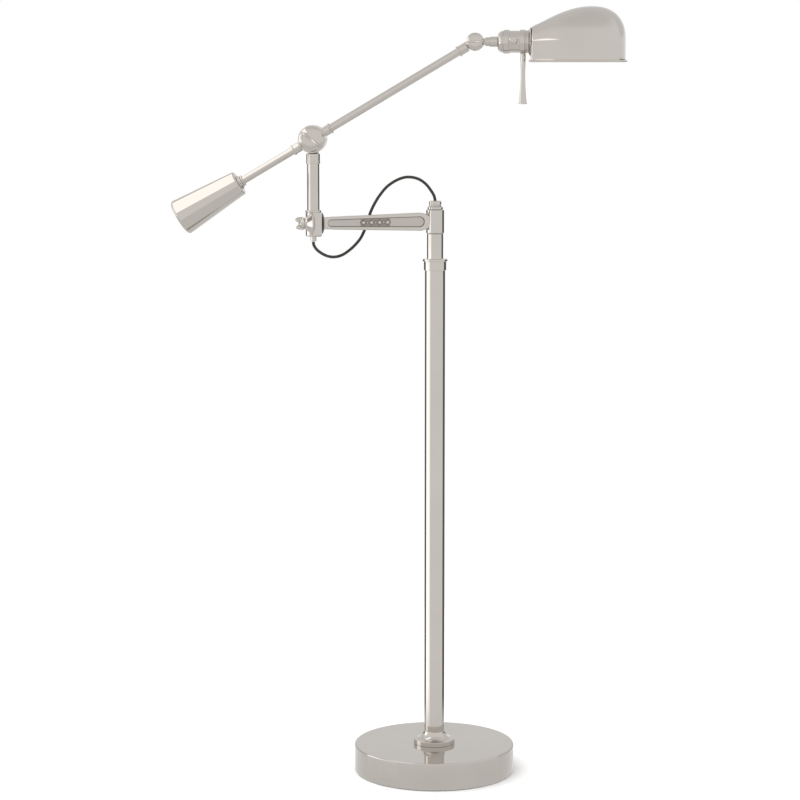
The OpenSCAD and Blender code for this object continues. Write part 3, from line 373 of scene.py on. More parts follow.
def link_cord():
    """A round tube swept along the route, from the elbow's ferrule to the cap on the spindle."""
    path = through(CORD_ROUTE, CORD_STEPS)
    along = unit(np.gradient(path, axis=0))
    along[0], along[-1] = -Z, -Z
    across = unit(np.cross(Y, along))
    up = np.cross(along, across)
    t = np.linspace(0, 2 * np.pi, CORD_SIDES, endpoint=False)[None, :, None]
    rows = path[:, None] + CORD_D / 2 * (across[:, None] * np.cos(t) + up[:, None] * np.sin(t))
    rows = np.concatenate([np.repeat(path[:1, None], CORD_SIDES, 1), rows,
                           np.repeat(path[-1:, None], CORD_SIDES, 1)])
    lamp_path = path @ ARM[:3, :3].T + ARM[:3, 3]
    distance = np.concatenate([[0], np.cumsum(np.linalg.norm(np.diff(lamp_path, axis=0), axis=1))])

    def wind(mesh):
        """UV: once round the cord in 3 units, and one unit along for each third of its girth."""
        co = np.empty(len(mesh.vertices) * 3)
        mesh.vertices.foreach_get("co", co)
        co = co.reshape(-1, 3) / MM
        near = np.argmin(((co[:, None] - lamp_path[None]) ** 2).sum(-1), axis=1)
        lamp_across = (across @ ARM[:3, :3].T)[near]
        lamp_up = (up @ ARM[:3, :3].T)[near]
        out = co - lamp_path[near]
        angle = np.arctan2((out * lamp_up).sum(1), (out * lamp_across).sum(1)) / (2 * np.pi)
        loops = np.empty(len(mesh.loops), int)
        mesh.loops.foreach_get("vertex_index", loops)
        starts = np.empty(len(mesh.polygons), int)
        sizes = np.empty(len(mesh.polygons), int)
        mesh.polygons.foreach_get("loop_start", starts)
        mesh.polygons.foreach_get("loop_total", sizes)
        first = np.repeat(angle[loops[starts]], sizes)
        u = angle[loops]
        u = u - np.round(u - first)
        girth = np.pi * CORD_D
        coordinates = np.stack([u * 3, distance[near][loops] * 3 / girth], -1)
        layer = mesh.uv_layers.new(name="braid")
        layer.data.foreach_set("uv", coordinates.ravel())

    piece = build("link_cord", "arm", [moved(skin(rows), ARM)], uv=wind)


link_cord()

# ---- base and column ----

build("base_cover", "stand", [lathe([
    (11, BASE_TOP, 0.1), (BASE_R, BASE_TOP, 2.0), (BASE_R, 1.2, 6.0), (120.9, 1.2, 0.5), (120.9, 2.8, 0.5),
    (BASE_R - COVER_WALL, 2.8, 4.4), (BASE_R - COVER_WALL, BASE_TOP - COVER_WALL, 1.0),
    (11, BASE_TOP - COVER_WALL, 0.1)], steps=256, loop=True)])
build("base_pad", "stand", [lathe(solid(PAD_R, 0, PAD_H, 0.5), steps=192)])
build("cord_gland", "stand", [lathe([
    (0, 0.4), (3.0, 0.4, 0.8), (3.5, 2.5, 0.6), (7.5, 2.5, 0.8), (7.5, 0.1, 0.3), (5.5, 0.1, 0.1),
    (5.5, -7), (0, -7)], spot(0, BASE_R, 12) @ TO_BACK, 64)])
bell = np.linspace(0, math.pi / 2, 10)
build("foot_fitting", "stand", [lathe([
    (0, BASE_TOP), (FOOT_R, BASE_TOP, 0.6), (FOOT_R, 52.1, 1.2), (31.4, 52.1, 0.4),
    *curve(16.975 + 13.275 * (1 - np.sin(bell)), 52.1 + 12.5 * (1 - np.cos(bell))),
    (16.975, FOOT_TOP, 0.5), (COLUMN_R - 0.05, FOOT_TOP, 0.2), (COLUMN_R - 0.05, 60), (0, 60)], steps=160)])
build("column_tube", "stand", [lathe(
    hollow(COLUMN_R, COLUMN_R - COLUMN_WALL, COLUMN_FOOT, COLUMN_END), steps=160, loop=True)])
build("column_collar", "stand", [lathe([
    (SPINDLE_R, COLLAR_Z + 8), (COLUMN_R, COLLAR_Z + 8), (COLUMN_R, COLLAR_Z, 0.2), (17.5, COLLAR_Z, 0.6),
    (17.5, 817.9, 0.3), (19.25, 817.9, 0.7), (19.25, COLLAR_TOP, 0.9), (SPINDLE_R, COLLAR_TOP, 0.2)],
    steps=160, loop=True)])
build("spindle", "stand", [lathe([
    (0, 786.8), (14.3, 786.8), (14.3, 811.8), (SPINDLE_R, 811.8), (SPINDLE_R, SPINDLE_TOP, 0.5),
    (JOURNAL_R, SPINDLE_TOP), (JOURNAL_R, 909.2), (0, 909.2)], steps=128)])
build("thrust_washer", "stand", [lathe(hollow(13.2, JOURNAL_R, SPINDLE_TOP, 862.0, 0.2), loop=True)])
build("spindle_ring", "stand", [lathe([
    (JOURNAL_R, RING_Z), (12, RING_Z, 0.9), (12, CAP_Z, 1.3), (JOURNAL_R, CAP_Z)], loop=True)])
build("spindle_cap", "stand", [lathe([
    (2.6, 909.4), (JOURNAL_R, 909.4), (JOURNAL_R, CAP_Z), (9.7, CAP_Z, 0.4), (9.7, 905.3, 0.3),
    (8.7, 905.3, 0.2), (8.7, 906.6, 0.2), (9.7, 906.6, 0.3), (9.7, CAP_TOP, 2.0), (2.6, CAP_TOP, 0.5)],
    loop=True)])

# ---- arm ----


def web_half(x):
    """Half the web's height, falling evenly from the hub to the elbow."""
    share = (x - HUB_R) / (ARM_END - HUB_R)
    return WEB_HALF_HUB + (WEB_HALF_ELBOW - WEB_HALF_HUB) * share


def arm_web():
    """The web with its two long recesses. Each ring runs round the recess at one stage: from the
    line down the middle of the front floor, out over the recess's edge and the rim, round the web's
    edge, and back over the rear rim to the rear floor's middle."""
    a = web_half(RECESS_START) - RECESS_RIM
    b = web_half(RECESS_END) - RECESS_RIM + 2
    x0, x1 = RECESS_START + a, RECESS_END - b
    left, right = 8.0, ARM_END
    corner = math.degrees(math.atan2(web_half(right), right - x1))
    turn = np.radians(np.concatenate([
        np.linspace(-90, -corner - 2, 10), [-corner], np.linspace(-corner + 2, corner - 2, 16), [corner],
        np.linspace(corner + 2, 90, 10)]))
    top = np.linspace(0, 1, 141)[1:-1]
    back = np.radians(np.linspace(90, 270, 33))

    def stadium(inset):
        """The recess's outline, drawn in by inset: two round ends and two straight sides."""
        ra, rb = max(a - inset, 0.0), max(b - inset, 0.0)
        upper = np.stack([x1 + (x0 - x1) * top, rb + (ra - rb) * top], -1)
        return np.vstack([
            np.stack([x1 + rb * np.cos(turn), rb * np.sin(turn)], -1), upper,
            np.stack([x0 + ra * np.cos(back), ra * np.sin(back)], -1), (upper * [1, -1])[::-1]])

    def border(inset):
        """The web's outline, drawn in by inset, met along the same headings as the recess's."""
        half = np.where(np.abs(np.tan(turn)) * (right - x1) > web_half(right), 1, 0)
        reach = np.where(half == 1, (web_half(right) - inset) / np.maximum(np.abs(np.sin(turn)), 1e-6),
                         (right - inset - x1) / np.maximum(np.cos(turn), 1e-6))
        end = np.stack([x1 + reach * np.cos(turn), reach * np.sin(turn)], -1)
        over = np.abs(end[:, 1]) > web_half(end[:, 0]) - inset - 0.02
        end[:, 1] = np.where(over, np.sign(end[:, 1]) * (web_half(end[:, 0]) - inset), end[:, 1])
        x = x1 + (x0 - x1) * top
        upper = np.stack([x, web_half(x) - inset], -1)
        share = np.sin(back)
        hub_x = np.maximum(x0 + (x0 - left) * np.cos(back) * 1.0, left)
        hub = np.stack([hub_x, share * (web_half(hub_x) - inset)], -1)
        return np.vstack([end, upper, hub, (upper * [1, -1])[::-1]])

    deep = WEB_HALF_T - RECESS_DEPTH
    rim = 1.6
    quarter = np.radians([0, 30, 60, 90])
    stages = [(stadium(99), deep), (stadium(3.2), deep), (stadium(2.2), deep), (stadium(1.2), deep)]
    stages += [(stadium(0.7 * (1 - math.sin(q))), deep + 0.7 * (1 - math.cos(q))) for q in quarter]
    stages += [(stadium(-0.6 * (1 - math.cos(q))), WEB_HALF_T - 0.6 + 0.6 * math.sin(q)) for q in quarter]
    stages += [(border(rim - rim * math.sin(q)), WEB_HALF_T - rim + rim * math.cos(q)) for q in quarter]
    front = np.array([np.insert(outline, 1, y, axis=1) for outline, y in stages])
    rear = front[::-1] * [1, -1, 1]
    return skin(np.concatenate([front, rear]))


def lozenge(x, size, height):
    """A cast diamond on the floor of the recess: square rings that shrink from the foot to a
    small flat top, with the sides' bow following a quarter circle."""
    quarter = np.radians([0, 25, 50, 70, 90])
    shrink = np.append(0.55 + 0.45 * np.cos(quarter), 0.0)
    lift = np.append(height * np.sin(quarter), height)
    ring = np.array([(1, 0), (0, 1), (-1, 0), (0, -1)], float) * size / 2
    rows = np.stack([
        x + shrink[:, None] * ring[:, 0],
        WEB_HALF_T - RECESS_DEPTH - 0.3 + lift[:, None] + 0 * ring[:, 0],
        shrink[:, None] * ring[:, 1]], -1)
    foot = rows[:1] * [0, 1, 0] + [x, 0, 0]
    return skin(np.concatenate([np.repeat(foot[:, :1], 4, 1), rows]))


ORNAMENT = [(ARM_LEN / 2 + 6.4 * (i - 3), 7.4 if i % 2 == 0 else 4.0) for i in range(7)]


def painted_recess_shade(points):
    """Painted shade for the recess, darkness where shade falls: 1 on the recess's wall and round the feet of
    the lozenges, fading to a fifth on its floor and to none on the rim."""
    local = (points - ARM[:3, 3]) @ ARM[:3, :3]
    x, depth, z = local[:, 0], WEB_HALF_T - np.abs(local[:, 1]), np.abs(local[:, 2])
    a = web_half(RECESS_START) - RECESS_RIM
    b = web_half(RECESS_END) - RECESS_RIM + 2
    x0, x1 = RECESS_START + a, RECESS_END - b
    share = np.clip((x - x0) / (x1 - x0), 0, 1)
    edge = np.hypot(x - x0 - share * (x1 - x0), z) - (a + (b - a) * share)
    inside = (np.abs(edge) < 30) & (edge < 0.3) & (depth > 0.35)
    wall = np.clip(1.4 + np.minimum(edge, 0) / 1.1, 0, 1) * np.clip(depth / 0.8, 0, 1)
    relief = np.zeros_like(x)
    for middle, size in ORNAMENT:
        reach = (np.abs(x - middle) + z) / (size / 2)
        relief = np.maximum(relief, np.where((reach < 1.5) & (depth > 1.2), np.clip((reach - 0.6) / 0.3, 0,
            1), 0))
    ground = (np.abs(x - ARM_LEN / 2) < 24) & (depth > 2.2)
    relief = np.maximum(relief, np.where(ground, 0.8, 0.0))
    return np.where(inside, np.maximum(np.maximum(wall, 0.9 * relief), np.where(depth > 1.9, 0.2, 0.0)), 0.0)


# the casting's recess walls, floor and lozenge feet carry painted shade
build("arm_casting", "arm", [moved(s, ARM) for s in [
    lathe([(8.1, -HUB_HALF), (HUB_R, -HUB_HALF, 0.9), (HUB_R, HUB_HALF, 0.9), (8.1, HUB_HALF)],
          steps=128, loop=True),
    arm_web(), *[lozenge(x, size, 1.8) for x, size in ORNAMENT]]], painted_shade=painted_recess_shade)
build("elbow_washer", "arm", [lathe(
    hollow(16.15, 4, ARM_END, ARM_END + 2.4, 0.4), ARM @ TO_X, 96, True)])

# ---- elbow ----


def elbow_block():
    """The square block on the sleeve's arm side, as a stack of level sections: half of the
    sleeve's circle, then straight sides to two eased corners."""
    levels = [(-SLEEVE_HALF, 2.4), (-SLEEVE_HALF, 2.0), (-SLEEVE_HALF + 0.5, 1.2), (-SLEEVE_HALF + 2.0, 0.1),
              (-SLEEVE_HALF + 2.6, 0.0), (17.0, 0.0), (17.2, 0.3), (17.2, 2.4)]
    turn = np.linspace(-math.pi / 2, math.pi / 2, 41)
    ease = np.linspace(math.pi / 2, math.pi, 5)
    rings = []
    for level, inset in levels:
        r, flat, corner = SLEEVE_R - inset, ELBOW_FLAT + inset, 0.6
        front = np.stack([flat + corner + corner * np.cos(ease), r - corner + corner * np.sin(ease)], -1)
        back = front[::-1] * [1, -1]
        ring = np.vstack([np.stack([r * np.cos(turn), r * np.sin(turn)], -1), front, back])
        rings.append(np.insert(ring, 2, level, axis=1))
    rows = np.array(rings)
    cap = rows.mean(axis=1, keepdims=True).repeat(rows.shape[1], axis=1)
    return skin(np.concatenate([cap[:1], rows, cap[-1:]]))


build("elbow_casting", "elbow", [
    lathe([(0, -SLEEVE_HALF), (SLEEVE_R, -SLEEVE_HALF, 2.2), (SLEEVE_R, 17.0, 0.4), (12.25, 17.6, 0.4),
           (12.25, SLEEVE_HALF, 0.6), (POST_R + 0.1, SLEEVE_HALF, 0.2), (POST_R + 0.1, 8), (0, 8)],
          ELBOW, 128),
    lathe([(0, -2), (14.2, 0.4, 0.6), (19.6, 3.4, 0.5), (20.2, 4.4, 0.6), (19.7, 5.8, 0.6), (10.25, 11.9,
        3.0),
           (8.75, 13.9, 0.6), (8.75, 15.4, 0.4), (0, 15.4)], ELBOW @ TO_X, 128),
    moved(elbow_block(), ELBOW)])
build("cord_ferrule", "elbow", [lathe([
    (2.5, -22.5), (3.5, -22.5), (3.5, -SLEEVE_HALF), (4.4, -SLEEVE_HALF, 0.2), (4.4, -27.8, 1.0),
    (2.5, -27.8, 0.3)], ELBOW, 64, True)])


def blade(length, thickness, top, saddle, foot=0.6):
    """The wings of a thumb nut, standing on Z = foot. Along the length the top edge rises from
    the saddle in the middle to full height at six tenths and rounds off at the tips, and each
    cross-section is the rounded box |y/t|^4 + |z/h|^4 = 1."""
    share = np.sin(np.linspace(-1, 1, 49) * math.pi / 2)
    away = np.abs(share)
    rise = saddle + (top - saddle) * np.clip(away / 0.6, 0, 1) ** 2 * (3 - 2 * np.clip(away / 0.6, 0, 1))
    tip = np.sqrt(np.clip(1 - np.clip((away - 0.6) / 0.4, 0, 1) ** 2.2, 0, 1))
    height = foot + (rise - foot) * (0.15 + 0.85 * tip) * np.where(away > 0.999, 0.6, 1)
    width = thickness / 2 * np.clip(1 - away**10, 0, 1) ** 0.5
    t = np.linspace(0, 2 * math.pi, 32, endpoint=False)
    cos, sin = (np.sign(f(t)) * np.abs(f(t)) ** 0.5 for f in (np.cos, np.sin))
    return skin(np.stack([
        share[:, None] * length / 2 + 0 * t, width[:, None] * cos,
        (height[:, None] + foot) / 2 + (height[:, None] - foot) / 2 * sin], -1))


def thumb_nut(node, body, matrix, disc_r, dome_h, length, top, thickness):
    """A domed disc, its crown a quarter ellipse, with a pair of wings across it."""
    q = np.linspace(0, math.pi / 2, 9)[1:-1]
    crown = 0.35 * disc_r
    dome = lathe([(0, 0), (disc_r, 0, 0.5), (disc_r, 1.8, 0.4), *curve(
        crown + (disc_r - 0.8 - crown) * np.cos(q), 2.0 + (dome_h - 2.0) * np.sin(q)), (crown, dome_h, 3.0),
            (0, dome_h)],
        steps=128)
    build(node, body, [moved(s, matrix) for s in (dome, blade(length, thickness, top, dome_h + 0.4))])


thumb_nut("elbow_wing_nut", "elbow_knob", ELBOW @ spot(15.55, 0, 0) @ TO_X @ spot(0, 0, 0, Z, 25),
          9.0, 7.0, 21.0, 12.6, 3.0)

# ---- post and pivot ----

PIVOT_FRONT = BOOM_Y - HUB_T / 2
LUG_FRONT, LUG_BACK = -2.05, 9.45
build("post_tube", "post", [lathe([
    (8, 6.2), (POST_R, 6.2), (POST_R, 12.0, 0.1), (8.8, 12.1, 0.1), (8.8, 16.3, 0.1), (POST_R, 16.4, 0.1),
    (POST_R, 104.4), (8, 104.4)], POST, 128, True)])


def neck():
    """The bridge from the post's collar up to the pivot's rear lug: a round-cornered bar whose
    section is the collar's own back half, carried straight up."""
    t = np.linspace(0, 2 * math.pi, 48, endpoint=False)
    cos, sin = (np.sign(f(t)) * np.abs(f(t)) ** 0.6 for f in (np.cos, np.sin))
    heights = np.array([105.0, 106.0, 110.0, 114.0, 118.0, 120.0])
    size = np.array([0.0, 1.0, 1.0, 1.0, 1.0, 0.0])
    return skin(np.stack([
        8.2 * size[:, None] * cos, 3.9 + 5.3 * size[:, None] * sin, heights[:, None] + 0 * t], -1))


build("post_head", "post", [
    lathe([(0, 91.9), (10.5, 91.9, 0.4), (10.8, 92.4, 0.5), (10.8, 94.9, 0.5), (10.5, 95.3, 0.4),
           (10.5, 107.3, 0.8), (0, 107.3)], POST, 128),
    moved(neck(), POST),
    lathe(solid(PIVOT_R, -LUG_BACK, -LUG_FRONT, 1.0), PIVOT @ TO_FRONT, 160)])
build("pivot_washer", "post", [lathe(
    hollow(18.8, 4, -LUG_FRONT, -LUG_FRONT + 1.3, 0.3), PIVOT @ TO_FRONT, 128, True)])
q = np.linspace(0, math.pi / 2, 9)[:-1]
build("pivot_rear_nut", "post", [lathe(
    [(0, LUG_BACK), (8, LUG_BACK, 0.3), (8, LUG_BACK + 1.6, 0.3), *curve(8 * np.cos(q),
        LUG_BACK + 2 + 4 * np.sin(q)),
     (0.5, LUG_BACK + 6, 0.1), (0, LUG_BACK + 6)], PIVOT @ TO_BACK, 64)])
thumb_nut("pivot_wing_nut", "pivot_knob", PIVOT @ spot(0, PIVOT_FRONT - 0.15, 0) @ TO_FRONT @ spot(0, 0, 0,
    Z, -38),
          19.3, 6.5, 36.0, 11.5, 4.0)

# ---- boom ----


def boom_collar(matrix):
    """One of the hub's two collars, with a flared ring at its mouth."""
    return lathe([(0, 0), (6.4, 0), (6.4, 21.8, 0.1), (7.5, 21.8, 0.4), (7.5, 31.4, 0.3), (8.35, 32.4, 0.3),
        (8.35, 34.2, 0.5), (BOOM_R, 34.6, 0.2),
                  (BOOM_R, 30), (0, 30)], matrix, 96)


build("boom_hub", "boom", [
    lathe(solid(PIVOT_R, -HUB_T / 2, HUB_T / 2, 1.0), BOOM @ TO_FRONT, 160),
    boom_collar(BOOM @ TO_X), boom_collar(BOOM @ spot(0, 0, 0, Y, -90))])
build("boom_front_tube", "boom", [lathe(hollow(BOOM_R, 4.75, 16, 274), BOOM @ TO_X, 96, True)])
build("boom_back_tube", "boom", [lathe(hollow(BOOM_R, 4.75, -161.5, -16), BOOM @ TO_X, 96, True)])
build("boom_end_lug", "boom", [
    lathe([(0, 260), (8.4, 260, 0.5), (8.4, 262.2, 0.5), (7.5, 262.8, 0.3), (7.5, 276, 0.6), (0, 276)],
          BOOM @ TO_X, 96),
    lathe(solid(KNUCKLE_R, -KNUCKLE_HALF, -1.15, 0.7), BOOM @ spot(BOOM_LEN, 0, 0) @ TO_FRONT, 128),
    lathe(solid(4.2, 270, 286, 0.5), BOOM @ spot(0, 3.4, 0) @ TO_X, 48)])
build("counterweight", "boom", [lathe([
    (0, WEIGHT_X), (WEIGHT_SMALL, WEIGHT_X, 2.4), (WEIGHT_BIG, WEIGHT_X - WEIGHT_LEN, 3.6), (0,
        WEIGHT_X - WEIGHT_LEN)],
    BOOM @ TO_X, 192)])
build("weight_neck", "boom", [lathe([
    (0, WEIGHT_X - 1), (11, WEIGHT_X, 0.2), (11, WEIGHT_X + 1.6, 0.7), (9.4, WEIGHT_X + 3, 0.7),
    (9.4, WEIGHT_X + 4.5, 0.5), (0, WEIGHT_X + 4.5)], BOOM @ TO_X, 96)])
build("weight_lock_ring", "boom", [lathe([
    (BOOM_R, -126.4), (8.7, -126.4, 0.7), (8.7, -123.8, 0.7), (BOOM_R, -123.8)], BOOM @ TO_X, 96, True)])
build("knuckle_washer", "boom", [lathe(
    hollow(11.65, 2.5, -1.15, -0.15, 0.2), BOOM @ spot(BOOM_LEN, 0, 0) @ TO_FRONT, 96, True)])
thumb_nut("knuckle_wing_nut", "knuckle_knob",
          HEAD @ spot(0, -KNUCKLE_HALF - 0.15, 0) @ TO_FRONT @ spot(0, 0, 0, Z, 4), 13.15, 6.0, 31.0, 10.5,
              3.0)

# ---- head ----

build("head_lug", "head", [
    lathe(solid(KNUCKLE_R, 0, KNUCKLE_HALF, 0.7), HEAD @ TO_FRONT, 128),
    lathe([(0, 13), (5.5, 13), (5.5, 16.2, 0.1), (6.75, 16.2, 0.4), (6.75, 22.2), (0, 22.2)], HEAD @ TO_X,
        96),
    lathe(solid(4.6, 6, 18, 0.5), HEAD @ spot(0, -2.6, 0) @ TO_X, 48)])
build("neck_ring", "head", [lathe(solid(7.75, 22.2, 33.9, 0.7), HEAD @ TO_X, 96)])
q = np.linspace(0, math.pi / 2, 12)
build("socket_cap", "head", [lathe([
    (0, 33.9), (6.5, 33.9), *curve(7.75 + 8.75 * np.sin(q), 33.9 + 9.2 * (1 - np.cos(q))), (15, 43.1), (0,
        43.1)],
    HEAD @ TO_X, 128)])
build("socket_ring", "head", [lathe(hollow(SOCKET_RING_R, SHELL_R, 43.1, 51.9, 1.0), HEAD @ TO_X, 128, True)])
build("socket_shell", "head", [lathe(hollow(SHELL_R, 15.6, 43.1, 80.75, 0.2), HEAD @ TO_X, 128, True)])
build("switch_knob", "switch", [lathe([
    (0, 12), (2, 12), (2, 16.1), (6.5, 16.1, 0.4), (6.5, 20.9, 0.8), (5.2, 22.4, 0.9), (2.6, 23.1, 1.5), (0,
        23.1)],
    HEAD @ spot(58.7, 0, 1.8) @ TO_FRONT, 96)])
build("shade_ring", "shade", [lathe([
    (16.55, 67.8), (SHADE_RING_R, 67.8, 1.0), (SHADE_RING_R, 75.5, 0.7), (16.55, 75.5)], HEAD @ TO_X, 128,
        True)])
build("shade_gallery", "shade", [lathe([
    (16.0, 75.5), (16.9, 75.5, 0.1), (16.9, 76.7, 0.2), (17.5, 76.7, 0.3), (17.5, 78.1, 0.3), (16.9, 78.1,
        0.2),
    (16.9, 79.5, 0.2), (17.5, 79.5, 0.3), (17.5, 80.9, 0.4), (22.3, 83.7, 1.5), (22.8, 84.5, 0.4), (22.3,
        SHADE_X, 0.3),
    (16.0, SHADE_X)], HEAD @ TO_X, 128, True)])
t = np.linspace(0, 1, 11)
build("handle", "shade", [lathe([
    (0, 0), (6, 0, 0.6), *curve(4 + 2 * (1 - t) ** 2 - 0.9 * np.sin(math.pi * t), 3 + 69.5 * t), (4, 76.5),
        (0, 76.5)],
    HEAD @ spot(72.5, 0, -SHADE_RING_R - 75.5), 64)])


def shade_outline(inset, n=64):
    """The shade from above, on one side, as (distance along, half width): a flat back wall, a
    corner arc, a rising cubic curve to the crown, and a nose with |x/a|^2.4 + |y/b|^2.4 = 1."""
    arc = np.radians(np.linspace(180, 112, 12))
    r = 5.5 - inset
    wall = np.stack([np.full(9, inset), np.linspace(0, 19, 9)], -1)[:-1]
    corner = np.stack([5.5 + r * np.cos(arc), 19 + r * np.sin(arc)], -1)
    s = np.linspace(0, 1, 26)[1:-1, None]
    a, b, c, d = (np.array(p) for p in ((3.4, 24.1 - inset), (25, 33 - inset), (52, SHADE_R - inset), (90,
        SHADE_R - inset)))
    rise = (1 - s) ** 3 * a + 3 * (1 - s) ** 2 * s * b + 3 * (1 - s) * s**2 * c + s**3 * d
    q = np.linspace(0, math.pi / 2, 40)
    nose = np.stack([90 + (52.3 - inset) * np.sin(q) ** (2 / 2.4),
        (SHADE_R - inset) * np.cos(q) ** (2 / 2.4)], -1)
    nose[-1, 1] = 0.0
    return np.vstack([wall, corner, rise, nose])


def shade_shell():
    """Two layers, 1 mm apart. Each ring is one cross-section: up the near skirt, over the
    half-round dome of that point's half width, down the far skirt, and back inside."""
    over = np.radians(np.linspace(0, 180, 73))
    drop = np.linspace(-SHADE_DROP, 0, 7)[:-1]
    y = np.concatenate([np.ones(6), np.cos(over), -np.ones(6)])
    z = np.concatenate([np.zeros(6), np.sin(over), np.zeros(6)])
    down = np.concatenate([drop, np.zeros(73), drop[::-1]])
    layers = []
    for inset in (0.0, 1.0):
        outline = shade_outline(inset)
        layers.append(np.stack([
            outline[:, :1] + 0 * y, outline[:, 1:] * y, outline[:, 1:] * z + down], -1))
    return skin(np.concatenate([layers[0], layers[1][:, ::-1]], axis=1))


def shade_rim():
    """A rolled bead carried round the shade's foot: each point of the outline is pushed out
    along its own normal by the bead's section, 2.8 mm proud and 3.4 mm tall."""
    side = shade_outline(0.0)[8:]
    side = np.vstack([[(0.0, 0.0)], side])
    plan = np.vstack([side, (side[1:-1] * [1, -1])[::-1]])
    along = unit(np.roll(plan, -1, 0) - np.roll(plan, 1, 0))
    out = np.stack([-along[:, 1], along[:, 0]], -1)
    section = eased([(-0.9, 0, 0.3), (1.6, 0, 0.8), (2.8, 0.9, 0.8), (2.8, 2.6, 0.8), (1.9, 3.4, 0.7),
        (-0.9, 3.4, 0.1)])
    rows = np.stack([
        plan[:, None, 0] + out[:, None, 0] * section[:, 0], plan[:, None, 1] + out[:, None, 1] * section[:,
            0],
        -SHADE_DROP + section[:, 1] + 0 * plan[:, None, 0]], -1)
    return skin(rows, loop=True)


SHADE = HEAD @ spot(SHADE_X, 0, 0)
build("shade", "shade", [moved(shade_shell(), SHADE), moved(shade_rim(), SHADE)])

# ---- inside the shade ----

build("lampholder", "head", [lathe([
    (0, 62), (15.6, 62), (15.6, 76.9, 0.6), (14.4, 76.9, 0.4), (14.4, 89.6, 0.9), (13.2, 89.6, 0.4), (13.2,
        66), (0, 66)],
    HEAD @ TO_X, 96)])
thread = np.linspace(0, 1, 13)
build("bulb_cap", "head", [lathe([
    (0, 66.3), (4, 66.3), (12.6, 70.3), (12.6, 88.0, 0.5), (12.2, 89.0, 0.5), (12.6, 90.0, 0.5), (12.6,
        91.6, 0.3),
    (0, 91.6)], HEAD @ TO_X, 96)])
swell = np.linspace(0, math.pi, 10)
cap = np.radians(np.linspace(5, 84, 12))
build("bulb_glass", "head", [lathe([
    (0, 91.6), (12, 91.6, 0.4), *curve(12 + 3 * (1 - np.cos(swell[1:])), 91.6 + 44 * swell[1:] / math.pi),
    *curve(18 * np.cos(cap), 135.6 + 18 * np.sin(cap)), (1.0, 153.6, 1.0), (0, 153.6)], HEAD @ TO_X, 128)])

# ---- finishes for the nodes that stay ----

SLOTS = {s["node"]: s["material_slot"] for s in frame["record"]["subparts"]}
for node, piece in frame["nodes"].items():
    piece.data.materials.clear()
    piece.data.materials.append(FINISHES[SLOTS[node]])

# ---- studio ----


def add_floor():
    """A plain pale floor, much wider than the lamp, and level with its pad."""
    side = 1.2
    mesh = bpy.data.meshes.new("floor")
    mesh.from_pydata([(-side, -side, 0), (side, -side, 0), (side, side, 0), (-side, side, 0)], [], [(0, 1,
        2, 3)])
    floor = bpy.data.objects.new("floor", mesh)
    SCENE.collection.objects.link(floor)
    material = bpy.data.materials.new("floor")
    material.use_nodes = True
    surface = material.node_tree.nodes["Principled BSDF"]
    surface.inputs["Base Color"].default_value = (0.93, 0.93, 0.93, 1.0)
    surface.inputs["Roughness"].default_value = 0.95
    surface.inputs["Specular IOR Level"].default_value = 0.0
    mesh.materials.append(material)
    floor.visible_glossy = False


def add_softbox(name, centre, size, power, colour=(1.0, 1.0, 1.0)):
    """A square light at centre that faces the lamp's middle and leaves no image in the metal."""
    data = bpy.data.lights.new(name, "AREA")
    data.shape = "RECTANGLE"
    data.size, data.size_y = size
    data.energy = power
    data.color = colour
    light = bpy.data.objects.new(name, data)
    light.location = centre
    light.rotation_euler = (Vector((0, 0, 0.3)) - Vector(centre)).to_track_quat("-Z", "Y").to_euler()
    light.visible_glossy = False
    SCENE.collection.objects.link(light)


# how much the dark floor and the ceiling take from the white surround
DARK_DEPTH, CEILING_GREY = 0.85, 0.16


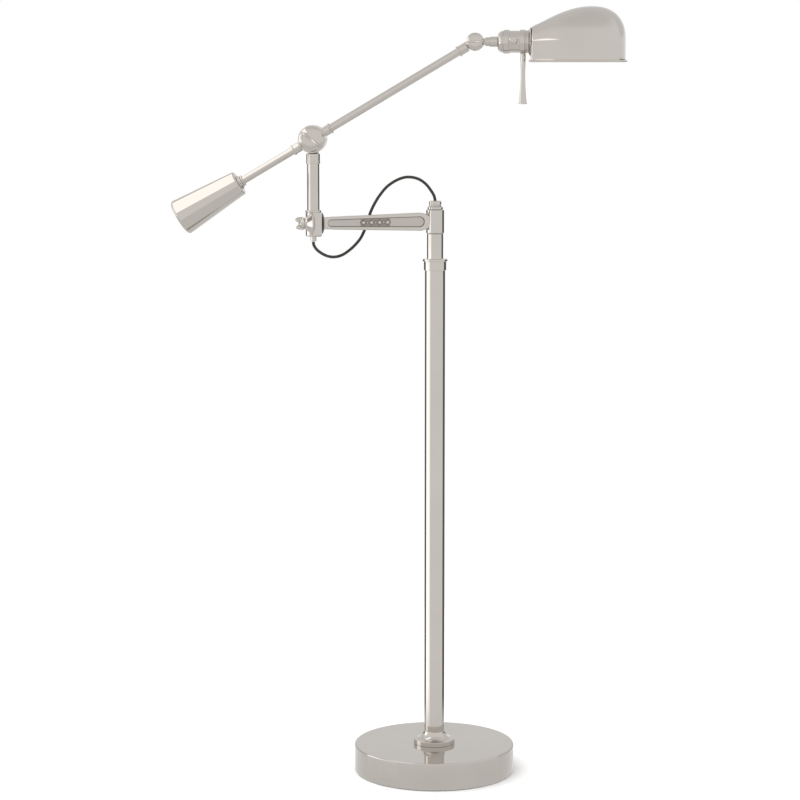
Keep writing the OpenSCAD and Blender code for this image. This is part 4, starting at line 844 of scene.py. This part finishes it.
def add_surround():
    """The studio that the metal reflects, by the direction (x, y, z) of the light: white all
    round, a bright panel to the left, a slightly greyer backdrop and ceiling, and behind the lamp,
    below the horizon, a dark floor on both sides that draws thin dark lines down the tubes."""
    world = bpy.data.worlds.new("surround")
    world.use_nodes = True
    SCENE.world = world
    nodes, links = world.node_tree.nodes, world.node_tree.links
    way = nodes.new("ShaderNodeSeparateXYZ")
    toward = nodes.new("ShaderNodeTexCoord").outputs["Generated"]
    links.new(toward, way.inputs["Vector"])

    def math_node(operation, first, second=0.0):
        """One sum on two numbers or sockets."""
        node = nodes.new("ShaderNodeMath")
        node.operation = operation
        for socket, value in zip(node.inputs, (first, second)):
            if isinstance(value, float):
                socket.default_value = value
            else:
                links.new(value, socket)
        return node.outputs["Value"]

    def rise(value, start, end):
        """0 up to start, 1 from end on, and a smooth step between."""
        node = nodes.new("ShaderNodeMapRange")
        node.interpolation_type = "SMOOTHSTEP"
        node.inputs["From Min"].default_value = start
        node.inputs["From Max"].default_value = end
        links.new(value, node.inputs["Value"])
        return node.outputs["Result"]

    x, y, z = (way.outputs[k] for k in "XYZ")
    up, down = z, math_node("MULTIPLY", z, -1.0)
    left = rise(math_node("MULTIPLY", x, -1.0), 0.1, 0.3)
    start = math_node("MULTIPLY", rise(y, -0.64, -0.60), rise(down, 0.02, 0.045))
    panel = math_node("MAXIMUM", start, rise(y, -0.35, -0.05))
    near = math_node("SUBTRACT", 1.0, rise(down, 0.25, 0.26))
    ends = math_node("MULTIPLY", math_node("MULTIPLY", math_node("SUBTRACT", 1.0, rise(y, 0.26, 0.30)), near),
                     math_node("SUBTRACT", 1.0, rise(up, 0.2, 0.5)))
    gain = math_node("ADD", math_node("MULTIPLY", rise(y, -0.7, 0.0), 0.55), 0.62)
    glow = math_node("MULTIPLY", math_node("MULTIPLY", math_node("MULTIPLY", panel, left), ends), gain)
    aside = rise(math_node("ABSOLUTE", x), 0.1, 0.22)
    behind = rise(y, 0.29, 0.34)
    below = rise(down, 0.005, 0.02)
    dark = math_node("MULTIPLY", math_node("MULTIPLY", math_node("MULTIPLY", aside, behind), below), near)
    lit = math_node("MULTIPLY", math_node("ADD", glow, 1.0), math_node("SUBTRACT", 1.0,
        math_node("MULTIPLY", dark, DARK_DEPTH)))
    backdrop = math_node("MULTIPLY", rise(y, 0.2, 0.6), rise(up, 0.05, 0.15))
    ceiling = math_node("MAXIMUM", math_node("MAXIMUM", rise(up, 0.55, 0.95), backdrop), rise(down, 0.24,
        0.28))
    tone = math_node("MULTIPLY", lit, math_node("SUBTRACT", 1.0, math_node("MULTIPLY", ceiling, CEILING_GREY)))
    seen = math_node("MAXIMUM", tone, nodes.new("ShaderNodeLightPath").outputs["Is Camera Ray"])
    links.new(seen, nodes["Background"].inputs["Strength"])
    nodes["Background"].inputs["Color"].default_value = (1.0, 1.0, 1.0, 1.0)


def add_card(name, corners, glow):
    """A shining card that only mirrors show."""
    mesh = bpy.data.meshes.new(name)
    mesh.from_pydata(corners, [], [(0, 1, 2, 3)])
    card = bpy.data.objects.new(name, mesh)
    SCENE.collection.objects.link(card)
    material = bpy.data.materials.new(name)
    material.use_nodes = True
    surface = material.node_tree.nodes["Principled BSDF"]
    surface.inputs["Base Color"].default_value = (0.0, 0.0, 0.0, 1.0)
    surface.inputs["Specular IOR Level"].default_value = 0.0
    surface.inputs["Emission Color"].default_value = (1.0, 0.99, 0.98, 1.0)
    surface.inputs["Emission Strength"].default_value = glow
    material.cycles.emission_sampling = "NONE"
    mesh.materials.append(material)
    card.visible_camera = card.visible_diffuse = card.visible_shadow = False


add_floor()
add_surround()
add_card("weight_card", [(-0.42, -0.70, 1.26), (-0.78, -0.70, 1.26), (-1.25, 0.65, 1.75), (-0.72, 0.65,
    1.75)], 1.85)
add_softbox("key", (-1.0, -0.8, 3.6), (3.0, 3.0), 75.0, (1.0, 0.99, 0.98))
SCENE.view_settings.view_transform = "Standard"
